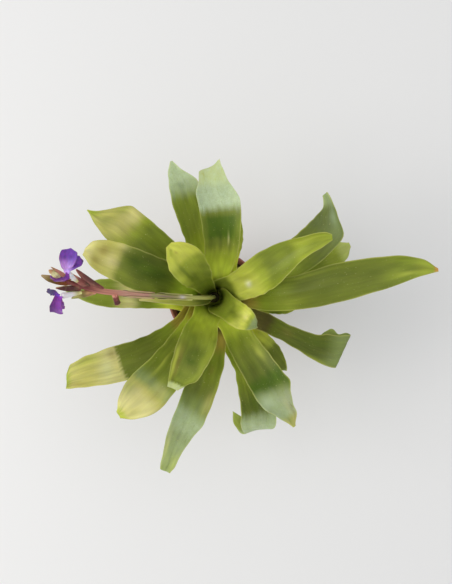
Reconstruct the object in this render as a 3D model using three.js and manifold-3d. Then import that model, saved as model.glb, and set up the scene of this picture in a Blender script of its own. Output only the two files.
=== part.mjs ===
// A potted tank air plant in flower: a funnel of broad strap leaves on a short stem, standing in a
// thin plastic pot of chunky bark mix, with one slender flower stalk that leans out over the leaves.
//
// Frame: millimetres, +Z up. The origin is the centre of the pot's underside. +X is to the right and
// +Y is away from the viewer, as the plant is seen from above.
import * as THREE from "three";
import { mergeVertices } from "three/addons/utils/BufferGeometryUtils.js";
import Module from "manifold-3d";

const wasm = await Module();
wasm.setup();

const DEG = Math.PI / 180;

// Clearance between pieces that touch.
const GAP = 0.35;

// The pot: a plain round one, a little wider at its rolled rim, with drain holes round a solid centre.
const POT = {
  height: 86,
  footRadius: 31,
  wallRadius: 42.5,
  rimRadius: 46,
  rimDepth: 9,
  rimRound: 1.2,
  wall: 1.6,
  floor: 2.4,
  heel: 2,
  sides: 40,
  drains: { count: 6, radius: 3.5, circle: 21, sides: 12 },
};

// The bark mix that fills the pot, and the stem that stands in a plain hole in it.
const MIX = { top: 77, sides: 32, rings: 5, relief: 1.8 };
const STEM = { foot: 48, footRadius: 5, soilRadius: 11, top: 108, topRadius: 4.3, socket: 7, sides: 20 };

// Leaf bases: each leaf stands one pitch inside and above the one before it, so that the sheaths nest.
const NEST = {
  pitch: 1.4,
  outerRadius: 34,
  lowest: 79.5,
  bowl: 14,
  sheath: 17,
  wrap: 1.5,
  riseBase: 30,
  risePerLevel: 1.15,
};
const BLADE = { thick: 0.95, edge: 0.6, neck: 12.5, cup: 34, columns: 6 };
// The slow wave of a leaf's margins, one side up where the other is down.
const WAVE = { height: 1.6, count: 1.3, shift: 2.1 };
// Rows of points along a leaf: round the bowl of its base, up its sheath and along its blade.
const LEAF_ROWS = { bowl: 3, sheath: 3, blade: 7, foldedBlade: 15, crowding: 1.35, widest: 0.2 };

// The flower stalk: from its foot in the stem up inside the funnel, out over the leaves, and on as the
// axis of the spike.
const STALK = { radius: 1.75, sides: 8, steps: 34 };
const STALK_PATH = [
  [0, 0, 101.4], [0, 0, 135], [-4.6, -0.3, 160], [-27.7, 0.5, 182], [-53.2, 2.3, 206],
  [-72.2, 4, 223.2], [-86, 5.6, 236], [-94, 7.9, 244], [-102, 10.8, 252], [-108, 13.2, 257],
];
// The narrow leafy bract that springs from the stalk inside the funnel and leans out beside it.
const LEAFY_BRACT_PATH = [
  [-3, -0.4, 137], [-7.5, -2, 154], [-20, -3, 168], [-38, -1.8, 180], [-55, -1.4, 186], [-62, -2, 187],
];
// The rolled bracts on the stalk, as shares of its length, and how far below its axis their middle runs.
const ROLLED_BRACT = { from: 0.391, to: 0.575, below: 2.5 };
const PINK_BRACT = { from: 0.59, to: 0.748, below: 2.5 };

// Materials, in the colours of the plant.
const finish = (name, color, roughness) =>
  new THREE.MeshStandardMaterial({ name, color, roughness, metalness: 0 });
const LEAF_GREEN = finish("leaf_green", 0x76892f, 0.42);
const CLAY_RED = finish("pot_plastic", 0xa8584a, 0.55);
const BARK = finish("bark_mix", 0x5a4733, 0.95);
const STEM_BROWN = finish("stem", 0x7a6a3f, 0.8);
const STALK_GREEN = finish("stalk_green", 0x9aa04a, 0.5);
const STALK_PINK = finish("stalk_pink", 0xc98d80, 0.5);
const STUB_BROWN = finish("stub_brown", 0x7a3b33, 0.7);
const BRACT_MAROON = finish("bract_maroon", 0x6a2c30, 0.5);
const BRACT_ORANGE = finish("bract_orange", 0xb07a48, 0.5);
const BRACT_YELLOW = finish("bract_yellow", 0xc9bd6e, 0.5);
const PETAL_VIOLET = finish("petal_violet", 0x7a3fb0, 0.5);
const PETAL_WHITE = finish("petal_white", 0xeee6ec, 0.5);

const mix = (a, b, t) => a + (b - a) * t;
const clamp01 = (t) => Math.min(1, Math.max(0, t));
const smooth = (t) => clamp01(t) ** 2 * (3 - 2 * clamp01(t));

// The value at u of a Bezier curve through numbers, which eases from the first number to the last.
function bezier(values, u) {
  let line = values.slice();
  while (line.length > 1) line = line.slice(1).map((v, i) => mix(line[i], v, u));
  return line[0];
}

// The stem's radius at height z, which the leaf bases stand against.
function stemRadius(z) {
  return mix(STEM.soilRadius, STEM.topRadius, clamp01((z - MIX.top) / (STEM.top - MIX.top)));
}

// The leaves, from the outermost to the innermost. Each stands one level further in than the last.
// heading: directions along the blade in degrees, left of +X, and rise: its angles above the horizon,
//   both eased from the first number to the last by a curve
// length: the blade beyond the sheath
// half: half of its greatest width, neck: half of its width above the sheath, sheath: the same below
// tip: length of the pointed end, blunt: how full that end is, under one for fuller, and lean: the side
//   that it points to
// outline: instead of those three, its left and right margins as shares of "half" left of its midline,
//   each with its place along the blade, for a leaf whose end is cut, kinked or lopsided
// fold: where the blade bends over, as a share of its length, by how much, over what share, its swing, and
//   how much later it starts at the left margin than in the middle
// curl: radius across the blade at the tip, where it is rolled into a channel
const LEAVES = [
  { name: "under_right", heading: [-6, -2], length: 36, half: 10, rise: [24, 2, -30], tip: 22 },
  { name: "low_left", heading: [178, 176, 178], length: 94, half: 14, rise: [30, 4, -14], tip: 50 },
  { name: "low_right_back", heading: [19, 22], length: 93, half: 12, rise: [30, 8, -20],
    outline: [[0.3, 1, -1], [0.8, 0.95, -1], [0.93, 0.65, -0.65], [1, 0.35, 0.1]] },
  { name: "low_front_right", heading: [-46, -44], length: 54, half: 12.5, rise: [30, 4, -30], tip: 28 },
  { name: "low_back", heading: [74, 74, 78], length: 42, half: 13, rise: [34, 20, -10], tip: 34 },
  { name: "curled_right", heading: [-28, -27, 10], length: 118, half: 14, neck: 9, rise: [34, 0, -11],
    outline: [[0.1, 0.8, -0.5], [0.28, 0.7, -0.43], [0.43, 0.72, -0.6], [0.53, 0.78, -0.85],
      [0.6, 0.98, -1.02], [0.7, 1.02, -1.11], [0.8, 1.12, -0.9], [0.86, 1.28, -0.6],
      [0.9, 0.85, -0.5], [0.95, 1.25, -0.4], [1, 0.8, -0.2]],
    fold: { at: 0.715, by: -172, over: 0.11, swing: -20, skew: 0.025 } },
  { name: "long_left_front", heading: [-134, -152, -178, -170], length: 119, half: 17, rise: [38, 14, -16],
    outline: [[0.3, 0.9, -0.95], [0.6, 0.9, -1.1], [0.83, 0.82, -0.8], [0.97, 0.78, -0.43], [1, 0.72, 0.1]] },
  { name: "rolled_front", heading: [-65, -74, -85], length: 114, half: 16, rise: [38, 11, -14],
    outline: [[0.3, 0.8, -0.55], [0.48, 0.85, -0.76], [0.61, 0.95, -0.82], [0.7, 1.02, -1],
      [0.78, 0.9, -1.08], [0.84, 0.6, -1.2], [0.93, 0.25, -1], [1, 0, -0.45]],
    fold: { at: 0.735, by: -185, over: 0.14, swing: 44, skew: 0.045 } },
  { name: "pale_left_back", heading: [140, 141, 143], length: 103, half: 19, rise: [42, 18, -12],
    outline: [[0.3, 0.95, -0.9], [0.6, 1.08, -0.95], [0.72, 1.08, -0.95], [0.79, 0.98, -0.55],
      [0.86, 0.86, -0.07], [0.93, 0.7, 0.3], [1, 0.55, 0.5]] },
  { name: "long_front", heading: [-91, -112, -130, -104], length: 134, half: 14.5, rise: [40, 12, -30],
    outline: [[0.25, 0.9, -1], [0.42, 0.92, -1.05], [0.58, 1.02, -0.95], [0.68, 0.74, -0.85],
      [0.8, 0.58, -0.6], [0.93, 0.5, -0.42], [1, 0.31, -0.35]] },
  { name: "dark_right_back", heading: [24, 24, 24, 50, 126], length: 118, half: 17, rise: [44, 16, -12],
    outline: [[0.3, 0.95, -0.85], [0.55, 1, -0.9], [0.66, 0.95, -0.95], [0.75, 0.84, -1.13],
      [0.83, 0.6, -0.57], [0.92, 0.18, -0.32], [1, -0.02, -0.3]] },
  { name: "back_left", heading: [103, 104, 106], length: 97, half: 14, rise: [46, 24, -6],
    outline: [[0.3, 0.9, -0.95], [0.6, 1.1, -0.95], [0.78, 1.02, -0.85], [0.9, 0.85, -0.08], [1, 0.5, 0.4]] },
  { name: "pale_front_left", heading: [-122, -126, -140], length: 106, half: 20, rise: [46, 20, -18],
    outline: [[0.3, 0.8, -0.75], [0.5, 0.95, -0.85], [0.66, 1, -1], [0.75, 0.95, -0.97], [0.83, 0.74, -0.85],
      [0.92, 0.46, -0.6], [1, 0, -0.28]] },
  { name: "long_right", heading: [5, 22, -4], length: 170, half: 18, rise: [46, 14, -10],
    outline: [[0.12, 0.55, -0.95], [0.32, 0.56, -1.14], [0.5, 0.76, -1.15], [0.72, 0.69, -0.85],
      [0.86, 0.6, -0.5], [0.93, 0.42, -0.3], [1, 0.04, -0.08]] },
  { name: "broad_front_right", heading: [-53, -56, -62], length: 112, half: 17, rise: [52, 24, -22],
    outline: [[0.25, 0.58, -1], [0.5, 0.68, -1.15], [0.67, 0.82, -1.18], [0.75, 0.52, -1.1],
      [0.83, 0.34, -0.74], [0.91, 0.27, -0.5], [1, -0.1, -0.2]] },
  { name: "broad_left", heading: [160, 160, 163], length: 98, half: 17, rise: [54, 28, -14],
    outline: [[0.3, 0.95, -1], [0.5, 1, -1.06], [0.68, 0.84, -1.1], [0.8, 0.74, -1.04], [0.9, 0.52, -0.88],
      [0.97, 0.22, -0.64], [1, 0.08, -0.2]] },
  { name: "broad_back", heading: [81, 90, 104, 94], length: 110, half: 17.5, sheath: 14,
    rise: [58, 50, -20, -44],
    outline: [[0.2, 0.72, -0.92], [0.5, 0.84, -1.15], [0.62, 0.92, -1.18], [0.69, 1, -0.96],
      [0.77, 0.76, -0.66], [0.89, 0.66, -0.53], [0.94, 0.05, -0.45], [1, -0.27, -0.36]] },
  { name: "young_front_left", heading: [-109, -110, -116], length: 73, half: 16.5, rise: [62, 44, -20],
    outline: [[0.3, 1, -0.95], [0.5, 1.08, -0.96], [0.72, 0.88, -0.85], [0.82, 0.76, -0.73],
      [0.87, 0.46, -0.66], [1, 0.08, -0.48]] },
  { name: "young_right_back", heading: [24, 50, 8], length: 108, half: 16.5, rise: [62, 40, 6], curl: 6,
    outline: [[0.3, 0.9, -1.05], [0.5, 0.97, -1.08], [0.64, 0.88, -0.86], [0.74, 0.73, -0.58],
      [0.82, 0.54, -0.46], [0.91, 0.57, -0.36], [0.97, 0.44, -0.13], [1, 0.17, -0.02]] },
  { name: "young_front_right", heading: [-34, -34, -28], length: 38, half: 11, rise: [70, 60, -60], tip: 20 },
  { name: "young_back_left", heading: [124, 126, 134], length: 61, half: 14.5, neck: 9, sheath: 6.5,
    rise: [72, 56, 14],
    outline: [[0.3, 0.9, -0.9], [0.6, 1.1, -1.05], [0.74, 1.08, -1.05], [0.86, 0.78, -0.8],
      [0.95, 0.52, -0.4], [1, 0.3, -0.1]] },
];

// The shares of a blade at which its rows lie: even steps on a folded one, steps that shorten towards a
// plain pointed end, or the turns of its outline with even steps between them.
function bladeShares(leaf) {
  const { blade, foldedBlade, crowding, widest } = LEAF_ROWS;
  if (leaf.fold) return Array.from({ length: foldedBlade }, (_, k) => (k + 1) / foldedBlade);
  if (!leaf.outline) return Array.from({ length: blade }, (_, k) => 1 - (1 - (k + 1) / blade) ** crowding);
  const turns = [0, ...leaf.outline.map(([u]) => u)];
  return leaf.outline.flatMap(([u], k) => {
    const count = Math.ceil((u - turns[k]) / widest - 0.01);
    return Array.from({ length: count }, (_, j) => mix(turns[k], u, (j + 1) / count));
  });
}

// How far along a leaf each row of points lies, as shares of its length: round the bowl of its base, up
// its sheath and along its blade.
function rowShares(leaf, bowlLength, rise, total) {
  const bowl = Array.from({ length: LEAF_ROWS.bowl + 1 }, (_, k) => (bowlLength * k) / LEAF_ROWS.bowl);
  const sheath = Array.from({ length: LEAF_ROWS.sheath },
    (_, k) => bowlLength + (rise * (k + 1)) / LEAF_ROWS.sheath);
  const blade = bladeShares(leaf).map((u) => bowlLength + rise + leaf.length * u);
  return [...bowl, ...sheath, ...blade].map((s) => s / total);
}

// The angles, radius and place of a leaf's midline, followed in small steps from the stem to the tip. A
// skewed fold starts elsewhere for each share across the leaf, -1 at its right margin to 1 at its left.
function leafRows(leaf, level, across) {
  const seatZ = NEST.lowest + NEST.pitch * level;
  const seatR = stemRadius(seatZ) + GAP + BLADE.thick / 2;
  const sideR = NEST.outerRadius - NEST.pitch * level;
  const rise = NEST.riseBase + NEST.risePerLevel * level;
  const bowlLength = (Math.PI / 2) * Math.sqrt(((sideR - seatR) ** 2 + NEST.bowl ** 2) / 2);
  const total = bowlLength + rise + leaf.length;
  const steps = 400;
  const ds = total / steps;
  const fold = leaf.fold ?? { at: 2, by: 0, over: 1, swing: 0, skew: 0 };
  const start = leaf.heading[0] * DEG;
  const place = new THREE.Vector3(seatR * Math.cos(start), seatR * Math.sin(start), seatZ);
  const line = [];
  for (let i = 0; i <= steps; i++) {
    const s = i * ds;
    const u = clamp01((s - bowlLength - rise) / leaf.length);
    const bent = smooth((u - fold.at - fold.skew * across) / fold.over);
    const flat = smooth((u - fold.at + fold.over) / fold.over);
    const e = elevation(leaf, s, u, sideR - seatR, bowlLength, rise) + fold.by * bent * DEG;
    const a = (bezier(leaf.heading, u) + fold.swing * bent) * DEG;
    const along = new THREE.Vector3(Math.cos(e) * Math.cos(a), Math.cos(e) * Math.sin(a), Math.sin(e));
    const r = Math.hypot(place.x, place.y);
    line.push({ s, u, a, along, flat, place: place.clone(), r, bowlLength, rise, total });
    place.addScaledVector(along, ds);
  }
  return rowShares(leaf, bowlLength, rise, total).map((share) => line[Math.round(share * steps)]);
}

// A leaf's angle above the horizon: round a quarter ellipse, straight up the sheath, then by its own curve.
function elevation(leaf, s, u, reach, bowlLength, rise) {
  const round = (Math.min(1, s / bowlLength) * Math.PI) / 2;
  if (s < bowlLength) return Math.atan2(NEST.bowl * Math.sin(round), reach * Math.cos(round));
  if (u === 0) return mix(90, leaf.rise[0], smooth((s - bowlLength) / rise)) * DEG;
  return bezier(leaf.rise, u) * DEG;
}

// A leaf's margins at a row, as distances left of its midline: [left, right]. There is a broad sheath, a
// narrower neck, and the blade, which follows the leaf's own outline or else runs out in a plain point.
function margins(leaf, row) {
  const sheathed = row.bowlLength + row.rise;
  const inSheath = clamp01(row.s / sheathed);
  const neck = Math.min(leaf.neck ?? BLADE.neck, leaf.half);
  const around = NEST.wrap * row.r;
  const sheath = Math.min(leaf.sheath ?? NEST.sheath, around);
  const low = Math.min(mix(sheath, neck, smooth((inSheath - 0.45) / 0.55)), around);
  if (row.s < sheathed) return [low, -low];
  if (leaf.outline) return outlineAt(leaf, row.u, neck).map((share) => share * leaf.half);
  const blade = mix(neck, leaf.half, smooth(row.u / 0.6));
  const toTip = clamp01((row.total - row.s) / leaf.tip);
  const half = Math.max(0.5, blade * Math.sin((toTip * Math.PI) / 2) ** (leaf.blunt ?? 0.85));
  const aside = (leaf.lean ?? 0) * (leaf.half - half) * smooth(1 - toTip);
  return [aside + half, aside - half];
}

// The shares of "half" at which a leaf's outline stands at u, along straight lines between its turns.
function outlineAt(leaf, u, neck) {
  const turns = [[0, neck / leaf.half, -neck / leaf.half], ...leaf.outline];
  const k = Math.max(1, turns.findIndex(([at]) => at >= u - 1e-9));
  const t = clamp01((u - turns[k - 1][0]) / (turns[k][0] - turns[k - 1][0]));
  return [mix(turns[k - 1][1], turns[k][1], t), mix(turns[k - 1][2], turns[k][2], t)];
}

// The points of one leaf's middle surface, row by row: rolled round the stem at the sheath, a channel
// beyond, and flat where it folds.
function leafGrid(leaf, level) {
  const columns = BLADE.columns;
  const base = leaf.heading[0] * DEG;
  const inward = new THREE.Vector3(-Math.cos(base), -Math.sin(base), 0);
  const lines = Array.from({ length: columns + 1 }, (_, j) => leafRows(leaf, level, 2 * j / columns - 1));
  return lines[0].map((first, i) => {
    const [left, right] = margins(leaf, first);
    const phase = 2 * Math.PI * WAVE.count * first.u + WAVE.shift * level;
    const ripple = WAVE.height * smooth(first.u * 3) * (1 - first.flat) * Math.sin(phase);
    const open = smooth((first.s - first.bowlLength) / (first.rise + 30));
    const bow = mix(1 / BLADE.cup, 1 / (leaf.curl ?? BLADE.cup), first.u ** 3) * mix(1, 0.1, first.flat);
    const radius = 1 / mix(1 / first.r, bow, open);
    return lines.map((line, j) => {
      const row = line[i];
      const side = new THREE.Vector3(-Math.sin(row.a), Math.cos(row.a), 0);
      const up = new THREE.Vector3().crossVectors(row.along, side);
      const centre = inward.clone().lerp(up, open).normalize();
      const across = 2 * j / columns - 1;
      const angle = mix(right, left, j / columns) / radius;
      return row.place.clone()
        .addScaledVector(side, radius * Math.sin(angle))
        .addScaledVector(centre, radius * (1 - Math.cos(angle)) + ripple * across * Math.abs(across));
    });
  });
}

function leafGeometry(leaf, level) {
  const thick = (i, j) => mix(BLADE.thick, BLADE.edge, Math.abs(2 * j / BLADE.columns - 1) ** 2);
  return shell(leafGrid(leaf, level), thick);
}

// A closed solid round a grid of points, half of thick(i, j) to each side, with walls round its edge.
function shell(grid, thick) {
  const m = grid.length;
  const n = grid[0].length;
  const normal = (i, j) => {
    const du = grid[Math.min(i + 1, m - 1)][j].clone().sub(grid[Math.max(i - 1, 0)][j]);
    const dv = grid[i][Math.min(j + 1, n - 1)].clone().sub(grid[i][Math.max(j - 1, 0)]);
    return du.cross(dv).normalize();
  };
  const points = [];
  for (const sign of [1, -1])
    for (let i = 0; i < m; i++)
      for (let j = 0; j < n; j++)
        points.push(grid[i][j].clone().addScaledVector(normal(i, j), (sign * thick(i, j)) / 2));
  const at = (layer, i, j) => layer * m * n + i * n + j;
  const faces = [];
  const quad = (a, b, c, d) => faces.push(a, b, c, a, c, d);
  for (let i = 0; i + 1 < m; i++)
    for (let j = 0; j + 1 < n; j++) {
      quad(at(0, i, j), at(0, i + 1, j), at(0, i + 1, j + 1), at(0, i, j + 1));
      faces.push(at(1, i, j), at(1, i + 1, j + 1), at(1, i + 1, j));
      faces.push(at(1, i, j), at(1, i, j + 1), at(1, i + 1, j + 1));
    }
  for (let i = 0; i + 1 < m; i++) {
    quad(at(0, i, 0), at(1, i, 0), at(1, i + 1, 0), at(0, i + 1, 0));
    quad(at(0, i + 1, n - 1), at(1, i + 1, n - 1), at(1, i, n - 1), at(0, i, n - 1));
  }
  for (let j = 0; j + 1 < n; j++) {
    quad(at(0, 0, j + 1), at(1, 0, j + 1), at(1, 0, j), at(0, 0, j));
    quad(at(0, m - 1, j), at(1, m - 1, j), at(1, m - 1, j + 1), at(0, m - 1, j + 1));
  }
  const geometry = new THREE.BufferGeometry().setFromPoints(points);
  geometry.setIndex(faces);
  geometry.computeVertexNormals();
  return geometry;
}

// A strip along a smooth path, such as a bract or a petal: half(t) is half of its width at t of the way,
// and it is hollow towards "up", with a radius across that eases from cup[0] to cup[1].
function stripGrid({ path, half, up, cup, rows = 8, columns = 6 }) {
  const curve = new THREE.CatmullRomCurve3(path.map((p) => new THREE.Vector3(...p)));
  const towards = new THREE.Vector3(...up);
  return Array.from({ length: rows + 1 }, (_, i) => {
    const t = i / rows;
    const along = curve.getTangentAt(t);
    const side = new THREE.Vector3().crossVectors(towards, along).normalize();
    const centre = new THREE.Vector3().crossVectors(along, side);
    const radius = mix(cup[0], cup[1], t);
    return Array.from({ length: columns + 1 }, (_, j) => {
      const angle = ((2 * j / columns - 1) * half(t)) / radius;
      return curve.getPointAt(t)
        .addScaledVector(side, radius * Math.sin(angle))
        .addScaledVector(centre, radius * (1 - Math.cos(angle)));
    });
  });
}

const strip = (spec, grow = 0) => shell(stripGrid(spec), () => 0.75 + 2 * grow);

// A lance shape: wide from its clasping base, widest at "most" of the way, then drawn to a point.
const lance = (half, base = 0.6, most = 0.35, end = 0.5) => (t) => {
  if (t < most) return mix(half * base, half, smooth(t / most));
  return Math.max(end, half * Math.cos(((t - most) / (1 - most)) * 1.5));
};

// A petal's outline: a narrow claw that spreads into a broad blade.
const petalOutline = (claw, half) => (t) => {
  const blade = Math.sin(Math.PI * clamp01((t - 0.18) / 0.82) ** 1.15) ** 0.8;
  return Math.max(0.6, mix(claw, half, blade) * (t > 0.9 ? mix(1, 0.5, (t - 0.9) / 0.1) : 1));
};

// A round rod along a smooth path, and a rod that swells and narrows from one point to another.
function rod(path, radius, sides, steps) {
  const outline = new THREE.Shape();
  for (let k = 0; k <= sides; k++) {
    const angle = (2 * Math.PI * k) / sides;
    if (k === 0) outline.moveTo(radius, 0);
    else outline.lineTo(radius * Math.cos(angle), radius * Math.sin(angle));
  }
  const extrudePath = new THREE.CatmullRomCurve3(path.map((p) => new THREE.Vector3(...p)));
  return new THREE.ExtrudeGeometry(outline, { steps, extrudePath, bevelEnabled: false });
}

function spindle(from, to, radii, sides = 10) {
  const start = new THREE.Vector3(...from);
  const axis = new THREE.Vector3(...to).sub(start);
  const length = axis.length();
  const outline = radii.map((r, k) => new THREE.Vector2(r, (length * k) / (radii.length - 1)));
  if (radii[0] > 0) outline.unshift(new THREE.Vector2(0, 0));
  if (radii.at(-1) > 0) outline.push(new THREE.Vector2(0, length));
  const turn = new THREE.Quaternion().setFromUnitVectors(new THREE.Vector3(0, 1, 0), axis.normalize());
  return new THREE.LatheGeometry(outline, sides).applyQuaternion(turn).translate(start.x, start.y, start.z);
}

// A geometry as a solid that can be joined and cut, and a solid's largest body back as a geometry.
function solid(geometry) {
  const bare = geometry.clone();
  for (const key of Object.keys(bare.attributes)) if (key !== "position") bare.deleteAttribute(key);
  const merged = mergeVertices(bare, 1e-4);
  const vertProperties = new Float32Array(merged.attributes.position.array);
  const triVerts = new Uint32Array(merged.index.array);
  return new wasm.Manifold(new wasm.Mesh({ numProp: 3, vertProperties, triVerts }));
}

function largest(manifold) {
  const bodies = manifold.decompose();
  bodies.sort((p, q) => q.volume() - p.volume());
  const { vertProperties, triVerts } = bodies[0].getMesh();
  const geometry = new THREE.BufferGeometry();
  geometry.setAttribute("position", new THREE.BufferAttribute(vertProperties, 3));
  geometry.setIndex(new THREE.BufferAttribute(triVerts, 1));
  geometry.computeVertexNormals();
  return geometry;
}

const without = (geometry, ...cutters) =>
  largest(cutters.reduce((whole, cutter) => whole.subtract(solid(cutter)), solid(geometry)));
const joined = (...geometries) => largest(geometries.map(solid).reduce((whole, part) => whole.add(part)));

// The radius of the pot's inside at height z, between its heel and its rim.
function potInside(z) {
  const { height, footRadius, wallRadius, rimDepth, wall, floor, heel } = POT;
  return mix(footRadius, wallRadius, (z - floor - heel) / (height - rimDepth - 2 - floor - heel)) - wall;
}

// The pot's outline, out along its underside, up the wall, over the rolled rim and down the inside.
function potOutline() {
  const { height, footRadius, wallRadius, rimRadius, rimDepth, rimRound, wall, floor, heel } = POT;
  const shoulder = height - rimDepth;
  const inside = rimRadius - wall - 0.8;
  return [
    [0, 0], [footRadius - 1, 0], [footRadius, 1], [wallRadius, shoulder], [rimRadius, shoulder + 0.8],
    [rimRadius, height - rimRound], [rimRadius - rimRound, height], [inside, height],
    [inside, shoulder + 1], [potInside(shoulder - 2), shoulder - 2],
    [potInside(floor + heel), floor + heel], [potInside(floor + heel) - heel, floor], [0, floor],
  ].map(([r, z]) => new THREE.Vector2(r, z));
}

// Turned round the upright axis: a lathe profile's second number is a height.
const turned = (outline, sides) => new THREE.LatheGeometry(outline, sides).rotateX(Math.PI / 2);

function potGeometry() {
  const { count, radius, circle, sides } = POT.drains;
  const holes = Array.from({ length: count }, (_, k) => {
    const angle = (2 * Math.PI * (k + 0.5)) / count;
    const hole = new THREE.CylinderGeometry(radius, radius, 3 * POT.floor, sides).rotateX(Math.PI / 2);
    return hole.translate(circle * Math.cos(angle), circle * Math.sin(angle), POT.floor / 2);
  });
  return without(turned(potOutline(), POT.sides), ...holes);
}

// The stem, from its foot in the mix to the socket in its top where the flower stalk stands.
function stemOutline(grow) {
  const { foot, footRadius, soilRadius, top, topRadius, socket } = STEM;
  const hole = STALK.radius + GAP;
  const outline = [
    [0, foot - grow], [footRadius + grow, foot - grow], [soilRadius + grow, MIX.top], [topRadius + grow, top],
  ];
  if (grow === 0) outline.push([hole, top], [hole, top - socket], [0, top - socket]);
  else outline.push([0, top]);
  return outline.map(([r, z]) => new THREE.Vector2(r, z));
}

// How far the mix's surface stands above or below its level: the lumps of its bark.
function lumps(x, y) {
  const coarse = Math.sin(0.43 * x + 1.1) * Math.cos(0.37 * y);
  const fine = Math.sin(0.9 * x - 0.8 * y);
  return MIX.relief * (0.6 * coarse + 0.4 * fine);
}

// The bark mix: a body that follows the pot's inside, with a lumpy top and a plain hole for the stem.
function mixGeometry() {
  const low = POT.floor + GAP;
  const heel = POT.floor + POT.heel + GAP;
  const shoulder = MIX.top - 2;
  const edge = potInside(shoulder) - GAP;
  const floorEdge = potInside(heel) - POT.heel - GAP;
  const outline = [[0, low], [floorEdge, low], [potInside(heel) - GAP, heel], [edge, shoulder]];
  for (let k = 1; k <= MIX.rings; k++) outline.push([mix(edge, 0, k / (MIX.rings + 1)), MIX.top]);
  outline.push([0, MIX.top]);
  const body = turned(outline.map(([r, z]) => new THREE.Vector2(r, z)), MIX.sides);
  const position = body.attributes.position;
  for (let i = 0; i < position.count; i++) {
    if (position.getZ(i) > shoulder + 1) position.setZ(i, MIX.top + lumps(position.getX(i), position.getY(i)));
  }
  return without(body, turned(stemOutline(GAP), STEM.sides));
}

const plant = new THREE.Group();
function add(name, geometry, material) {
  const mesh = new THREE.Mesh(geometry, material);
  mesh.name = name;
  plant.add(mesh);
}

add("pot", potGeometry(), CLAY_RED);
add("bark_mix", mixGeometry(), BARK);
add("stem", turned(stemOutline(0), STEM.sides), STEM_BROWN);
LEAVES.forEach((leaf, level) => add("leaf_" + leaf.name, leafGeometry(leaf, level), LEAF_GREEN));

// A path that keeps one distance below the stalk's axis between two shares of its length.
function alongStalk({ from, to, below }) {
  const curve = new THREE.CatmullRomCurve3(STALK_PATH.map((p) => new THREE.Vector3(...p)));
  return [0, 0.25, 0.5, 0.75, 1].map((step) => {
    const t = mix(from, to, step);
    const along = curve.getTangentAt(t);
    const under = new THREE.Vector3(-1, 0, -1).projectOnPlane(along).normalize();
    return curve.getPointAt(t).addScaledVector(under, below).toArray();
  });
}

// A flower's petals, joined at a small round throat.
function bloom(throat, petals, grow) {
  const core = new THREE.SphereGeometry(1.5 + grow, 8, 6).translate(...throat);
  return joined(core, ...petals.map((petal) => strip({ cup: [3, 12], rows: 7, columns: 4, ...petal }, grow)));
}

// The floral bracts: boat-shaped scales that clasp the spike's axis, on its two sides in turn.
const FLORAL_BRACTS = [
  { material: BRACT_MAROON, path: [[-83.6, 7.9, 234.4], [-92, 14.5, 243], [-101.7, 21.8, 250]], half: 5.4,
    up: [-0.2, -1, 0.1], cup: [2.7, 3.2] },
  { material: BRACT_MAROON, path: [[-92.6, 10.4, 243.6], [-98.6, 15, 252], [-105, 19.4, 259.5]], half: 5.4,
    up: [-0.2, -1, 0.1], cup: [2.7, 3.4] },
  { material: BRACT_MAROON, path: [[-98.6, 6.2, 247.6], [-107, 6, 253.2], [-115, 7.9, 258]], half: 4.4,
    up: [0, 1, 0.3], cup: [2.6, 3] },
  { material: BRACT_ORANGE, path: [[-88.8, 3.9, 238.6], [-97, 1.4, 243.6], [-105.4, 0.2, 248.4]], half: 5.2,
    up: [0, 1, 0.4], cup: [2.7, 3.2] },
  { material: BRACT_YELLOW, half: 4, up: [0.7, 0.2, 0.7], cup: [2.7, 3.4],
    path: [[-105.9, 11.6, 251.8], [-112, 12.2, 257], [-118, 14, 262.6], [-123.4, 17, 267]] },
  { material: BRACT_ORANGE, path: [[-104.6, 14.7, 254.8], [-110, 19.4, 262], [-116, 23, 268]], half: 4,
    up: [0, -1, 0.3], cup: [2.7, 3] },
];

// The petals of the two open flowers: each path runs from the throat to the petal's end.
const THROAT_1 = [-104.3, 19.1, 268.2];
const PETALS_1 = [
  { path: [THROAT_1, [-103.4, 23.6, 272], [-101, 30, 273.5], [-101.7, 36, 270]],
    half: petalOutline(2.4, 8.2), up: [0.1, 0, 1] },
  { path: [THROAT_1, [-105, 14.6, 267], [-110.4, 13.4, 266], [-117.5, 16.5, 264.5]],
    half: petalOutline(1.8, 4.2), up: [0.3, 0.8, 0.5] },
  { path: [THROAT_1, [-101.2, 18.5, 271], [-97.5, 18.5, 270.5], [-94.5, 19.5, 267]],
    half: petalOutline(1.6, 3.4), up: [0, 0, 1] },
];
const THROAT_2 = [-112.8, 1.7, 256.5];
const PETALS_2 = [
  { path: [THROAT_2, [-116, 4.2, 258.6], [-122.6, 5.5, 254.5]],
    half: petalOutline(1.6, 3.8), up: [0, -1, 0.35] },
  { path: [THROAT_2, [-113.8, -1.2, 257], [-115.6, -5.7, 253], [-116.3, -10.4, 246.5]],
    half: petalOutline(2.2, 6.2), up: [-0.3, 0.3, 1] },
  { path: [THROAT_2, [-111, 0.4, 252.4], [-108, -1.6, 247.5], [-106, -3, 241.5]],
    half: petalOutline(1.6, 4), up: [0.3, 0.3, 1] },
];

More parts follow.
